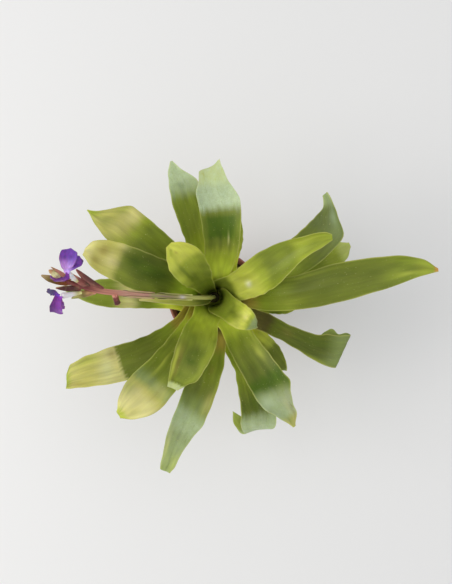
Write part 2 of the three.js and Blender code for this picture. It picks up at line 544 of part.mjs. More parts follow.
// The flower stalk and the spike, from the foot up. Each piece is cut clear of the ones before it.
const SPIKE = [
  ["flower_stalk", STALK_PINK, (grow) => rod(STALK_PATH, STALK.radius + grow, STALK.sides, STALK.steps)],
  ["stalk_bract_leafy", STALK_GREEN, (grow) => strip({
    path: LEAFY_BRACT_PATH, half: lance(5.4, 0.6, 0.3, 0.6), up: [0.7, 0, 0.7], cup: [3.2, 9],
    rows: 10, columns: 4,
  }, grow)],
  ["stalk_bract_rolled", STALK_GREEN, (grow) => strip({
    path: alongStalk(ROLLED_BRACT), half: lance(6.2, 0.95, 0.7, 0.8), up: [0.7, 0, 0.7], cup: [2.5, 2.6],
  }, grow)],
  ["stalk_bract_pink", STALK_PINK, (grow) => strip({
    path: alongStalk(PINK_BRACT), half: lance(6.2, 0.95, 0.75, 1.2), up: [0.7, 0, 0.7], cup: [2.5, 2.9],
  }, grow)],
  ["side_spike_stub", STUB_BROWN, (grow) => spindle(
    [-75.2, 1.7, 226], [-75, -5, 221.5], [1.5, 1.9, 2.4, 2.7].map((r) => r + grow))],
  ["corolla_tube_1", PETAL_WHITE, (grow) => spindle(
    [-99.5, 12, 252], [-103.8, 18.4, 266.5], [1.2, 1.7, 2.3].map((r) => r + grow))],
  ["corolla_tube_2", PETAL_WHITE, (grow) => spindle(
    [-98, 4.4, 246.2], [-111.3, 2, 255.4], [1.2, 1.8, 2.3].map((r) => r + grow))],
  ["flower_bud", BRACT_YELLOW, (grow) => spindle(
    [-108.4, 13.4, 257.4], [-117.3, 20.8, 269.5], [0.8, 1.4, 2.5, 2.8, 2, 0.7].map((r) => r + grow))],
  ...FLORAL_BRACTS.map(({ material, half, ...spec }, k) => [
    "floral_bract_" + (k + 1), material,
    (grow) => strip({ half: lance(half, 0.7, 0.4, 0.5), rows: 6, columns: 6, ...spec }, grow),
  ]),
  ["petals_1", PETAL_VIOLET, (grow) => bloom(THROAT_1, PETALS_1, grow)],
  ["petals_2", PETAL_VIOLET, (grow) => bloom(THROAT_2, PETALS_2, grow)],
];
const INNERMOST = LEAVES.length - 1;
const innermostLeaf = shell(leafGrid(LEAVES[INNERMOST], INNERMOST), () => BLADE.thick + 2 * GAP);

SPIKE.forEach(([name, material, make], k) => {
  const before = SPIKE.slice(0, k).map(([, , other]) => other(GAP));
  add(name, without(make(0), innermostLeaf, ...before), material);
});

export default plant;
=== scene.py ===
"""The looks of a potted tank air plant in flower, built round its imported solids.

The frame is the part's own: +Z up, the origin at the centre of the pot's underside, +X to the right and
+Y away from the viewer as the plant is seen from above. Sizes here are in millimetres, as in the part,
and write_mesh turns them into metres.
"""
from __future__ import annotations

import logging
import math
from dataclasses import dataclass, replace
from enum import Enum
from typing import Callable

import bpy
import numpy as np
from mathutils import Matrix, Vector

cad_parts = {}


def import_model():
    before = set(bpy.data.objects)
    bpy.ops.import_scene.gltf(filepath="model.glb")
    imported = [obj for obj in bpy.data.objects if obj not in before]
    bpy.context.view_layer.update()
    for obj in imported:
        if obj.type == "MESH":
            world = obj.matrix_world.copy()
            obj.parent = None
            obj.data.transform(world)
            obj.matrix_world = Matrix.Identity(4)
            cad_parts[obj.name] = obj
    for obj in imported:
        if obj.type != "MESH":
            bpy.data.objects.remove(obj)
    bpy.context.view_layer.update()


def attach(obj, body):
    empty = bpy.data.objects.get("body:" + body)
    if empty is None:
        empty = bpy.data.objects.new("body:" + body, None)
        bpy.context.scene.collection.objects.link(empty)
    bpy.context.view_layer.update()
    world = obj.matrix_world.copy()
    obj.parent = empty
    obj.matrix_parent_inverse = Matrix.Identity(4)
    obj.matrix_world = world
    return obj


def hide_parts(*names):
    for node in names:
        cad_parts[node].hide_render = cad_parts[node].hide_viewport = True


LOG = logging.getLogger("air_plant")
Array = np.ndarray
Point = tuple[float, float, float]

MM = 0.001
GAP = 0.35


# Numbers

def mix(a, b, t):
    """The value t of the way from a to b."""
    return a + (b - a) * t


def smooth(t: Array | float) -> Array:
    """A step that rises softly from 0 at t = 0 to 1 at t = 1."""
    t = np.clip(t, 0.0, 1.0)
    return t * t * (3.0 - 2.0 * t)


def bump(t: Array, middle: float, reach: float) -> Array:
    """A soft hill, 1 at the middle and about a third at its reach to each side."""
    return np.exp(-(((t - middle) / reach) ** 2))


def bezier(values: tuple[float, ...], u: Array) -> Array:
    """The Bezier curve through numbers.

    Args:
        values: the curve's control numbers, from its start to its end.
        u: where to read it, from 0 to 1.

    Returns:
        The curve's value at each u: neighbouring numbers are mixed by u until one is left.
    """
    line = [np.full_like(u, value) for value in values]
    while len(line) > 1:
        line = [mix(p, q, u) for p, q in zip(line, line[1:])]
    return line[0]


def unit(vectors: Array) -> Array:
    """The vectors at length 1."""
    return vectors / np.maximum(np.linalg.norm(vectors, axis=-1, keepdims=True), 1e-9)


def rotation(axis: int, angle: float) -> Array:
    """The matrix that turns points about axis 0 for x, 1 for y or 2 for z, by an angle in radians."""
    matrix = np.eye(3)
    i, j = (axis + 1) % 3, (axis + 2) % 3
    matrix[i, i] = matrix[j, j] = math.cos(angle)
    matrix[j, i], matrix[i, j] = math.sin(angle), -math.sin(angle)
    return matrix


def unevenness(seed: int, a: Array, b: Array, waves: int = 7) -> Array:
    """Smooth random unevenness over two parameters.

    Args:
        seed: fixes the draw.
        a: the first parameter, on any grid. The waves run through it up to once a unit.
        b: the second parameter, on the same grid.
        waves: how many plane waves are added up.

    Returns:
        Values of about -1 to 1: the mean of waves with random headings, lengths and phases.
    """
    draw = np.random.default_rng(seed)
    total = np.zeros(np.broadcast(a, b).shape)
    for _ in range(waves):
        turns = draw.uniform(-1.0, 1.0, 2)
        phase = draw.uniform(0.0, 2.0 * math.pi)
        total += np.sin(2.0 * math.pi * (turns[0] * a + turns[1] * b) + phase)
    return total / math.sqrt(waves)


# Colours

class Tone(Enum):
    """The plant's colours, as they look in daylight: red, green and blue in hexadecimal."""

    FOREST = "4b630c"
    MOSS = "5f6a21"
    OLIVE = "707a29"
    SAGE = "7e8b4b"
    LEAF = "808c2e"
    YOUNG = "99a337"
    LIME = "b3b84c"
    LEMON = "c6c854"
    STRAW = "b8b264"
    CREAM = "cdc586"
    MINT = "b0c49c"
    # FROST is also the colour of the pale coat of dust and painted sheen.
    FROST = "c9d7b3"
    HUSK = "57502b"
    RUST = "93823c"
    SCAR = "3a3a14"
    PALE_STALK = "b5b46a"
    BLUSH = "cf9a86"
    SALMON = "c98370"
    MAROON = "511d1f"
    WINE = "7a3231"
    TAN = "b88a5c"
    AMBER = "c98f4e"
    BUTTER = "ded49a"
    MAUVE = "8b6a6c"
    VIOLET = "5f35a0"
    PURPLE = "702591"
    LILAC = "b58ad2"
    INK = "2e1a55"
    SNOW = "efe9ee"

    @property
    def rgb(self) -> Array:
        """The tone as linear red, green and blue."""
        shares = np.array([int(self.value[k:k + 2], 16) for k in (0, 2, 4)]) / 255.0
        return np.where(shares <= 0.04045, shares / 12.92, ((shares + 0.055) / 1.055) ** 2.4)

    @property
    def rgba(self) -> tuple[float, ...]:
        """The tone as a shader's colour."""
        return (*(float(share) for share in self.rgb), 1.0)


@dataclass(frozen=True)
class Zone:
    """A change of colour along a leaf or scale, from one margin to the other.

    Attributes:
        at: where the new colour starts, as a share of the length.
        tone: the new colour.
        over: the share of the length that the change takes.
        slant: how much further on it starts at the left margin than in the middle.
        dust_and_sheen: how thick the pale coat is from here on, 0 to 1: the plant's dusty bloom, with painted
            sheen of the window's light on drooping ends.
    """

    at: float
    tone: Tone
    over: float = 0.08
    slant: float = 0.0
    # The pale coat from here on: the plant's dusty bloom, with painted sheen of the window's light on
    # drooping ends.
    dust_and_sheen: float = 0.0


@dataclass(frozen=True)
class Patch:
    """A soft spot of another colour.

    Attributes:
        along: its middle, as a share of the length.
        across: its middle across, -1 at the right margin to 1 at the left one.
        reach: its reach along, as a share of the length.
        width: its reach across, on the same scale as across.
        tone: its colour.
        strength: how far it covers what is under it.
    """

    along: float
    across: float
    reach: float
    width: float
    tone: Tone
    strength: float = 0.7


@dataclass(frozen=True)
class Coat:
    """How a leaf or scale is coloured: along its length, across it and at its margins.

    Attributes:
        base: the colour at its foot.
        zones: the changes of colour from foot to tip.
        patches: soft spots on top.
        rim: the colour of its thin margins.
        rim_share: how much of the margins that colour takes.
        under: the colour of its underside, mixed half and half.
        mottle: how uneven the colour is.
        foot: how much the foot is brightened: painted light, for the light that comes through the leaves into
            the funnel's shade.
    """

    # For every coat: how often streaks and blots change along and across, how far streaks move a zone's
    # start, where the painted glow of the foot ends and over what share it fades, and the least of the
    # pale coat of dust and painted sheen underneath.
    STREAKS = (2.0, 5.0)
    BLOTS = (5.0, 2.0)
    WOBBLE = 0.008
    PAINTED_GLOW_END = 0.25
    PAINTED_GLOW_FADE = 0.3
    DUST_AND_SHEEN_BELOW = 0.08

    base: Tone
    zones: tuple[Zone, ...] = ()
    patches: tuple[Patch, ...] = ()
    rim: Tone = Tone.STRAW
    rim_share: float = 0.6
    under: Tone = Tone.SAGE
    mottle: float = 0.12
    foot: float = 0.8

    def paint(self, u: Array, v: Array, edge: Array, seed: int) -> tuple[Array, Array]:
        """Works out the colour of both faces.

        A zone mixes its tone in by a soft step along u, whose start is moved by the slant times v and
        by streaky unevenness. A patch mixes its tone in by a soft hill over u and v. The foot is
        brightened by a soft step that ends at PAINTED_GLOW_END: painted light, for the light that comes
        through the leaves into the funnel's shade. The underside has half of the pale coat of dust and
        painted sheen.

        Args:
            u: the share of the length, on the grid.
            v: the place across, -1 to 1, on the grid.
            edge: 1 on the margins and 0 within.
            seed: fixes the unevenness.

        Returns:
            The upper and the lower face's colours on the grid, with the coat of dust and painted sheen as a
            fourth value.
        """
        streaks = unevenness(seed, self.STREAKS[0] * u, self.STREAKS[1] * v)
        blots = unevenness(seed + 1, self.BLOTS[0] * u, self.BLOTS[1] * v)
        colour = np.zeros((*u.shape, 3)) + self.base.rgb
        dust_and_sheen = np.zeros(u.shape)
        for zone in self.zones:
            start = zone.at + zone.slant * v + self.WOBBLE * streaks - zone.over / 2
            share = smooth((u - start) / zone.over)
            colour = mix(colour, zone.tone.rgb, share[..., None])
            dust_and_sheen = mix(dust_and_sheen, zone.dust_and_sheen, share)
        for patch in self.patches:
            hill = bump(u, patch.along, patch.reach) * bump(v, patch.across, patch.width)
            colour = mix(colour, patch.tone.rgb, (patch.strength * hill)[..., None])
        colour = mix(colour, self.rim.rgb, (self.rim_share * edge)[..., None])
        worn = 1.0 + self.mottle * (0.6 * blots + 0.4 * streaks)
        # Painted light: the foot is brightened, standing in for the light that comes through the leaves into
        # the funnel's shade.
        pale = 1.0 + self.foot * (1 - smooth((u + self.PAINTED_GLOW_FADE - self.PAINTED_GLOW_END) / self.PAINTED_GLOW_FADE))
        colour = np.clip(colour * (worn * pale)[..., None], 0.0, 1.0)
        lower = mix(colour, self.under.rgb, 0.5)
        return np.dstack([colour, dust_and_sheen]), np.dstack([lower, 0.5 * dust_and_sheen + self.DUST_AND_SHEEN_BELOW])


# Shader building

class Bench:
    """A material under construction: its node tree, its main shader and short calls for its nodes."""

    def __init__(self, name: str) -> None:
        """Starts a material with an empty Principled shader."""
        self.material = bpy.data.materials.new(name)
        self.material.use_nodes = True
        self.tree = self.material.node_tree
        self.shader = next(n for n in self.tree.nodes if n.type == "BSDF_PRINCIPLED")

    def node(self, kind: str, settings: dict | None = None, **inputs) -> bpy.types.Node:
        """Adds a node.

        Args:
            kind: the node's type, without its "ShaderNode".
            settings: attributes of the node itself.
            inputs: a number, colour or socket for each input, named with _ for a space.

        Returns:
            The node.
        """
        node = self.tree.nodes.new("ShaderNode" + kind)
        for key, value in (settings or {}).items():
            setattr(node, key, value)
        for key, value in inputs.items():
            self.feed(node.inputs[key.replace("_", " ")], value)
        return node

    def feed(self, socket: bpy.types.NodeSocket, value) -> None:
        """Links a socket to an input, or sets the input to a number or colour."""
        if isinstance(value, bpy.types.NodeSocket):
            self.tree.links.new(value, socket)
        else:
            socket.default_value = value

    def surface(self, **inputs) -> None:
        """Sets or links inputs of the main shader, named with _ for a space."""
        for key, value in inputs.items():
            self.feed(self.shader.inputs[key.replace("_", " ")], value)

    def place(self, scale: Point = (1.0, 1.0, 1.0), uv: bool = False) -> bpy.types.NodeSocket:
        """Object coordinates, or the piece's own UV map, stretched by a scale for each axis."""
        coordinates = self.node("TexCoord").outputs["UV" if uv else "Object"]
        return self.node("Mapping", Vector=coordinates, Scale=scale).outputs["Vector"]

    def noise(self, where: bpy.types.NodeSocket, scale: float, detail: float = 3.0,
              rough: float = 0.55) -> bpy.types.NodeSocket:
        """Soft noise, about 0.5, with so many layers of detail."""
        node = self.node("TexNoise", Vector=where, Scale=scale, Detail=detail, Roughness=rough)
        return node.outputs["Fac"]

    def streaks(self, along: float, across: float, detail: float = 3.0,
                rough: float = 0.55) -> bpy.types.NodeSocket:
        """Noise that changes so many times a metre along the piece and across it."""
        return self.noise(self.place((along, across, 1.0), uv=True), 1.0, detail, rough)

    def span(self, value, low: float, high: float, to_low: float = 0.0,
             to_high: float = 1.0) -> bpy.types.NodeSocket:
        """A value between low and high, brought to the range from to_low to to_high."""
        node = self.node("MapRange", Value=value, From_Min=low, From_Max=high, To_Min=to_low, To_Max=to_high)
        return node.outputs["Result"]

    def times(self, a, b) -> bpy.types.NodeSocket:
        """One value times another."""
        return self.math("MULTIPLY", a, b)

    def math(self, operation: str, a, b) -> bpy.types.NodeSocket:
        """One sum on two values."""
        node = self.node("Math", {"operation": operation})
        self.feed(node.inputs[0], a)
        self.feed(node.inputs[1], b)
        return node.outputs["Value"]

    def blend(self, share, a, b, mode: str = "MIX") -> bpy.types.NodeSocket:
        """Two colours mixed by a share."""
        node = self.node("Mix", {"data_type": "RGBA", "blend_type": mode})
        self.feed(node.inputs[0], share)
        self.feed(node.inputs[6], a)
        self.feed(node.inputs[7], b)
        return node.outputs[2]

    def overlay(self, share: float, colour, pattern) -> bpy.types.NodeSocket:
        """A colour that a pattern's greys darken and brighten by a share."""
        greys = self.node("ValToRGB", Fac=pattern).outputs["Color"]
        return self.blend(share, colour, greys, "OVERLAY")

    def tone(self) -> bpy.types.Node:
        """The colour that the mesh carries, with its coat of dust and painted sheen in the alpha value."""
        return self.node("Attribute", {"attribute_name": TONE_LAYER})

    def relief(self, pattern, high: float) -> None:
        """Raises the surface in looks by a pattern times so many millimetres."""
        node = self.node("Bump", Height=pattern, Distance=high * MM, Strength=1.0)
        self.surface(Normal=node.outputs["Normal"])


TONE_LAYER = "tone"
UV_LAYER = "along"


@dataclass(frozen=True)
class LeafFinish:
    """Living leaf tissue: satin, with fine lengthwise veins, cloudy greens, scuffs and a pale coat of dust
    and painted sheen.

    Attributes:
        name: the finish's name.
        roughness: how matt it is where it is clean.
        veins: how deep the veins stand out in colour.
        specks: how strong its dark specks are, 0 to 1.
        wrinkles: how strong its fine dry wrinkle lines are, 0 to 1.
        flecks: how strong its tiny pale flecks are, 0 to 1.
        dust_sheen: the colour of its pale coat, the plant's dusty bloom with painted sheen of the window's
            light.
    """

    name: str
    roughness: float = 0.42
    veins: float = 0.16
    specks: float = 0.3
    wrinkles: float = 0.2
    flecks: float = 0.4
    # The colour of the pale coat: dusty bloom and painted sheen.
    dust_sheen: Tone = Tone.FROST

    def material(self) -> bpy.types.Material:
        """Builds the material.

        Returns:
            The mesh's own tone, streaked along the leaf, clouded, dusted with grains of bloom and painted
            sheen, and specked.
        """
        bench = Bench(self.name)
        tone = bench.tone()
        veins = bench.streaks(35.0, 620.0, 4.0, 0.6)
        here = bench.place()
        clouds = bench.noise(here, 55.0, 5.0)
        grains = bench.noise(here, 1500.0, 2.0, 0.7)
        drifts = bench.noise(here, 170.0, 4.0, 0.6)
        scuffs = bench.streaks(90.0, 420.0, 5.0, 0.7)
        rubbed = bench.streaks(45.0, 330.0, 4.0, 0.65)
        wrinkles = bench.streaks(260.0, 1500.0, 3.0, 0.6)
        colour = bench.overlay(self.veins, tone.outputs["Color"], veins)
        colour = bench.blend(bench.span(clouds, 0.35, 0.7, 0.0, 0.30), colour, Tone.YOUNG.rgba, "SOFT_LIGHT")
        lines = bench.times(bench.span(wrinkles, 0.60, 0.72), self.wrinkles)
        colour = bench.blend(lines, colour, Tone.RUST.rgba)
        # The pale coat from the mesh's alpha: the plant's dusty bloom and painted sheen of the window's
        # light, broken by grains, drifts and rubbed streaks.
        dust_sheen = bench.times(tone.outputs["Alpha"], bench.span(grains, 0.3, 0.65, 0.7, 1.0))
        dust_sheen = bench.times(dust_sheen, bench.span(drifts, 0.3, 0.7, 0.7, 1.0))
        dust_sheen = bench.times(dust_sheen, bench.span(rubbed, 0.58, 0.70, 1.0, 0.35))
        colour = bench.blend(dust_sheen, colour, self.dust_sheen.rgba)
        flecks = bench.times(bench.span(bench.noise(here, 820.0, 1.0), 0.72, 0.76), self.flecks)
        colour = bench.blend(flecks, colour, Tone.CREAM.rgba)
        dark = bench.times(bench.span(scuffs, 0.70, 0.78), self.specks)
        colour = bench.blend(dark, colour, Tone.SCAR.rgba)
        rough = bench.math("ADD", bench.span(dust_sheen, 0.0, 1.0, self.roughness, 0.75),
                           bench.span(scuffs, 0.3, 0.7, -0.05, 0.08))
        bench.surface(Base_Color=colour, Roughness=rough, Specular_IOR_Level=0.2, Subsurface_Weight=0.3,
                      Subsurface_Radius=(0.7, 1.0, 0.2), Subsurface_Scale=2 * MM)
        bench.relief(bench.math("ADD", veins, bench.span(grains, 0.0, 1.0, 0.0, 0.25)), 0.16)
        return bench.material


@dataclass(frozen=True)
class PetalFinish:
    """A thin velvety petal or tube with fine veins, which light shines through a little."""

    name: str
    roughness: float = 0.55
    glow: float = 0.25

    def material(self) -> bpy.types.Material:
        """Builds the material: the mesh's own tone, veined along the petal, with a soft sheen."""
        bench = Bench(self.name)
        tone = bench.tone()
        veins = bench.streaks(60.0, 1500.0, 3.0)
        clouds = bench.noise(bench.place(), 260.0, 3.0)
        colour = bench.overlay(0.35, tone.outputs["Color"], veins)
        colour = bench.blend(bench.span(clouds, 0.3, 0.75, 0.0, 0.25), colour, Tone.SNOW.rgba, "SOFT_LIGHT")
        bench.surface(Base_Color=colour, Roughness=bench.span(clouds, 0.3, 0.7, self.roughness, 0.7),
                      Subsurface_Weight=self.glow, Subsurface_Scale=3 * MM, Sheen_Weight=0.35,
                      Sheen_Roughness=0.4)
        bench.relief(veins, 0.1)
        return bench.material


@dataclass(frozen=True)
class StalkFinish:
    """The stalk and its bracts: a waxy skin with lengthwise ribs and papery pale patches."""

    name: str
    roughness: float = 0.48

    def material(self) -> bpy.types.Material:
        """Builds the material: the mesh's own tone, ribbed along its length and mottled."""
        bench = Bench(self.name)
        tone = bench.tone()
        ribs = bench.streaks(45.0, 1300.0, 4.0, 0.6)
        clouds = bench.noise(bench.place(), 320.0, 4.0)
        colour = bench.overlay(0.3, tone.outputs["Color"], ribs)
        colour = bench.blend(bench.span(clouds, 0.5, 0.72, 0.0, 0.12), colour, Tone.CREAM.rgba)
        bench.surface(Base_Color=colour, Roughness=bench.span(clouds, 0.3, 0.7, self.roughness, 0.68),
                      Subsurface_Weight=0.08, Subsurface_Scale=1.5 * MM)
        bench.relief(ribs, 0.12)
        return bench.material


@dataclass(frozen=True)
class PlasticFinish:
    """The pot's thin moulded plastic: matt, faintly grained, rubbed pale and dusty with use."""

    name: str
    colour: Tone = Tone.SALMON

    def material(self) -> bpy.types.Material:
        """Builds the material: one body colour, a fine moulded grain, pale rubbed patches and dust."""
        bench = Bench(self.name)
        here = bench.place()
        grain = bench.noise(here, 1400.0, 2.0)
        rubbed = bench.noise(bench.place((1.0, 1.0, 0.35)), 60.0, 6.0, 0.65)
        limescale = bench.noise(here, 24.0, 5.0, 0.6)
        fresh = (0.30, 0.10, 0.075, 1.0)
        colour = bench.blend(bench.span(rubbed, 0.45, 0.75, 0.0, 0.35), fresh, self.colour.rgba)
        colour = bench.blend(bench.span(limescale, 0.56, 0.74, 0.0, 0.3), colour, Tone.BUTTER.rgba)
        bench.surface(Base_Color=colour, Roughness=bench.span(rubbed, 0.3, 0.7, 0.48, 0.66))
        bench.relief(grain, 0.05)
        return bench.material


@dataclass(frozen=True)
class BarkFinish:
    """Rough dry bark, mineral grains or a woody stem: the mesh's own tone with fibres and dust."""

    name: str
    fibre: tuple[float, float, float] = (1.0, 1.0, 1.0)
    roughness: float = 0.9

    def material(self) -> bpy.types.Material:
        """Builds the material: the mesh's own tone, broken up by fibres at two scales."""
        bench = Bench(self.name)
        tone = bench.tone()
        fibres = bench.noise(bench.place(self.fibre), 380.0, 6.0, 0.7)
        crumbs = bench.noise(bench.place(), 1500.0, 3.0)
        colour = bench.overlay(0.7, tone.outputs["Color"], fibres)
        colour = bench.blend(bench.span(crumbs, 0.6, 0.75, 0.0, 0.4), colour, Tone.TAN.rgba)
        bench.surface(Base_Color=colour, Roughness=bench.span(fibres, 0.3, 0.7, self.roughness, 1.0))
        bench.relief(bench.math("ADD", fibres, crumbs), 0.6)
        return bench.material


@dataclass(frozen=True)
class FloorFinish:
    """A plain pale surface."""

    name: str = "pale_floor"

    def material(self) -> bpy.types.Material:
        """Builds the material: one pale matt colour."""
        bench = Bench(self.name)
        bench.surface(Base_Color=(0.80, 0.79, 0.775, 1.0), Roughness=0.9)
        return bench.material


# Meshes

def grid_faces(rows: int, columns: int, ring: bool = False, start: int = 0) -> Array:
    """The quads of a grid of points that are numbered row by row.

    Args:
        rows: points along.
        columns: points across.
        ring: whether the last column joins the first.
        start: the number of the grid's first point.

    Returns:
        Four point numbers a quad, which face the side that along crossed with across points to.
    """
    i, j = np.meshgrid(np.arange(rows - 1), np.arange(columns if ring else columns - 1), indexing="ij")
    k = (j + 1) % columns
    quads = np.stack([i * columns + j, (i + 1) * columns + j, (i + 1) * columns + k, i * columns + k], -1)
    return quads.reshape(-1, 4) + start


def capped_faces(rows: int, sides: int) -> list[Array]:
    """The faces of a stack of rings that a hub closes at each end.

    Args:
        rows: how many rings there are, numbered row by row from 0.
        sides: points round each ring. The hubs of the first and the last ring are numbered after them.

    Returns:
        The wall's quads and both fans of triangles, which face outwards where the rings run
        anticlockwise as seen from the last hub.
    """
    k = np.arange(sides)
    after, last, hub = (k + 1) % sides, (rows - 1) * sides, rows * sides
    foot = np.stack([np.full(sides, hub), after, k], -1)
    head = np.stack([np.full(sides, hub + 1), last + k, last + after], -1)
    return [grid_faces(rows, sides, ring=True)[:, ::-1], foot, head]


@dataclass
class Form:
    """A mesh before it is written: points in millimetres with their faces, colours and UV places."""

    points: Array
    faces: list[Array]
    tone: Array
    uv: Array

    @staticmethod
    def joined(forms: list["Form"]) -> "Form":
        """One form that holds several."""
        starts = np.cumsum([0] + [len(form.points) for form in forms])
        faces = [group + start for form, start in zip(forms, starts) for group in form.faces]
        return Form(np.vstack([form.points for form in forms]), faces,
                    np.vstack([form.tone for form in forms]), np.vstack([form.uv for form in forms]))


def write_mesh(name: str, form: Form, crease: float = 50.0) -> bpy.types.Object:
    """Makes an object of a form.

    Args:
        name: the object's name.
        form: its points, faces, colours and UV places.
        crease: the angle in degrees past which an edge stays sharp.

    Returns:
        The object, at the origin, with its place in its mesh.
    """
    mesh = bpy.data.meshes.new(name)
    corners = np.concatenate([group.ravel() for group in form.faces]).astype(np.int32)
    sizes = np.concatenate([np.full(len(group), group.shape[1]) for group in form.faces])
    starts = np.concatenate([[0], np.cumsum(sizes)[:-1]]).astype(np.int32)
    mesh.vertices.add(len(form.points))
    mesh.vertices.foreach_set("co", (form.points * MM).astype(np.float32).ravel())
    mesh.loops.add(len(corners))
    mesh.loops.foreach_set("vertex_index", corners)
    mesh.polygons.add(len(sizes))
    mesh.polygons.foreach_set("loop_start", starts)
    mesh.update(calc_edges=True)
    mesh.validate()
    tone = mesh.attributes.new(TONE_LAYER, "FLOAT_COLOR", "POINT")
    tone.data.foreach_set("color", form.tone.astype(np.float32).ravel())
    layer = mesh.uv_layers.new(name=UV_LAYER)
    layer.data.foreach_set("uv", (form.uv[corners] * MM).astype(np.float32).ravel())
    mesh.polygons.foreach_set("use_smooth", np.ones(len(sizes), bool))
    mesh.set_sharp_from_angle(angle=math.radians(crease))
    made = bpy.data.objects.new(name, mesh)
    bpy.context.scene.collection.objects.link(made)
    return made


def dress(piece: bpy.types.Object, finish: bpy.types.Material, slot: str, *nodes: str) -> bpy.types.Object:
    """Gives a piece its material, and says which solids it stands for.

    Args:
        piece: the object.
        finish: its material.
        slot: a name for the slot that its finish belongs to, which is only logged.
        nodes: the solids that it stands for, if any.

    Returns:
        The piece.
    """
    piece.data.materials.clear()
    piece.data.materials.append(finish)
    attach(piece, "root")
    if nodes:
        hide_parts(*nodes)
    LOG.info("%s: %d faces, slot %s, in place of %s", piece.name, len(piece.data.polygons), slot,
             ", ".join(nodes) or "nothing")
    return piece


@dataclass
class Skin:
    """A thin closed sheet round a middle surface.

    Attributes:
        middle: points on a grid, along and across.
        thick: the thickness at each point.
        along: distance along in millimetres, for patterns.
        across: distance across in millimetres, for patterns.
        upper: the colours of the face that along crossed with across points to.
        lower: the colours of the other face.
    """

    middle: Array
    thick: Array
    along: Array
    across: Array
    upper: Array
    lower: Array

    def form(self) -> Form:
        """Closes the sheet.

        Half of the thickness goes to each side along the surface's normal, the cross product of its
        slopes along and across. The far side's points are walked back, so that each row is a loop, and
        the first and last loop are filled.

        Returns:
            The closed form.
        """
        rows, columns = self.thick.shape
        normal = unit(np.cross(np.gradient(self.middle, axis=0), np.gradient(self.middle, axis=1)))
        half = (self.thick / 2)[..., None] * normal
        loops = np.concatenate([self.middle + half, (self.middle - half)[:, ::-1]], axis=1)
        tone = np.concatenate([self.upper, self.lower[:, ::-1]], axis=1)
        place = np.stack([self.along, self.across], -1)
        uv = np.concatenate([place, place[:, ::-1]], axis=1)
        j = np.arange(columns - 1)
        foot = np.stack([j, j + 1, 2 * columns - 2 - j, 2 * columns - 1 - j], -1)
        head = foot[:, ::-1] + (rows - 1) * 2 * columns
        faces = [grid_faces(rows, 2 * columns, ring=True), foot, head]
        return Form(loops.reshape(-1, 3), faces, tone.reshape(-1, 4), uv.reshape(-1, 2))


def lathe(outline: list[tuple[float, float]], sides: int, tone: Tone) -> Form:
    """Turns an outline round the upright axis.

    Args:
        outline: radius and height, from the axis underneath, up the outside and back to the axis.
        sides: how many steps the circle has.
        tone: its colour.

    Returns:
        A closed form. Its points on the axis are the hubs of a fan of triangles.
    """
    rings = np.array(outline[1:-1])
    angle = 2 * math.pi * np.arange(sides) / sides
    radius, height = rings[:, :1], rings[:, 1:]
    wall = np.stack([radius * np.cos(angle), radius * np.sin(angle), height + 0 * angle], -1).reshape(-1, 3)
    points = np.vstack([wall, [[0.0, 0.0, outline[0][1]], [0.0, 0.0, outline[-1][1]]]])
    uv = np.stack([points[:, 2], np.hypot(points[:, 0], points[:, 1])], -1)
    colours = np.tile([*tone.rgb, 0.0], (len(points), 1))
    return Form(points, capped_faces(len(rings), sides), colours, uv)


class SmoothPath:
    """A smooth curve through points, measured by its length."""

    def __init__(self, points: list[Point] | Array, fine: int = 60) -> None:
        """Samples the curve.

        Between two points the curve is the cubic that leaves and arrives with the slopes of its
        neighbours, where each stretch counts by the square root of its length. The ends continue
        straight on.

        Args:
            points: what the curve runs through.
            fine: samples in each stretch.
        """
        p = np.array(points, float)
        p = np.vstack([2 * p[0] - p[1], p, 2 * p[-1] - p[-2]])
        gap = np.sqrt(np.linalg.norm(np.diff(p, axis=0), axis=1))[:, None]
        slope = np.diff(p, axis=0) / gap
        chord = (p[2:] - p[:-2]) / (gap[:-1] + gap[1:])
        lean = slope[:-1] - chord + slope[1:]
        t = (np.arange(fine) / fine)[None, :, None]
        start, end = p[1:-2, None], p[2:-1, None]
        leave, arrive = (lean[:-1] * gap[1:-1])[:, None], (lean[1:] * gap[1:-1])[:, None]
        bend = 3 * (end - start) - 2 * leave - arrive
        close = 2 * (start - end) + leave + arrive
        line = (start + leave * t + bend * t ** 2 + close * t ** 3).reshape(-1, 3)
        self.line = np.vstack([line, p[-2]])
        self.slope = unit(np.gradient(self.line, axis=0))
        steps = np.linalg.norm(np.diff(self.line, axis=0), axis=1)
        self.measure = np.concatenate([[0.0], np.cumsum(steps)])
        self.length = self.measure[-1]

    def at(self, t: Array) -> Array:
        """Points at shares t of the length."""
        return np.stack([np.interp(t * self.length, self.measure, self.line[:, k]) for k in range(3)], -1)

    def heading(self, t: Array) -> Array:
        """Directions of travel at shares t of the length."""
        seen = [np.interp(t * self.length, self.measure, self.slope[:, k]) for k in range(3)]
        return unit(np.stack(seen, -1))


# The rosette

@dataclass(frozen=True)
class Fold:
    """Where a leaf's blade bends over.

    Attributes:
        at: where it starts, as a share of the blade.
        by: how far it turns, in degrees, downwards below zero.
        over: the share of the blade that it takes.
        swing: how far it turns aside meanwhile, in degrees.
        skew: how much later it starts at the left margin than in the middle.
    """

    at: float
    by: float
    over: float
    swing: float
    skew: float = 0.0


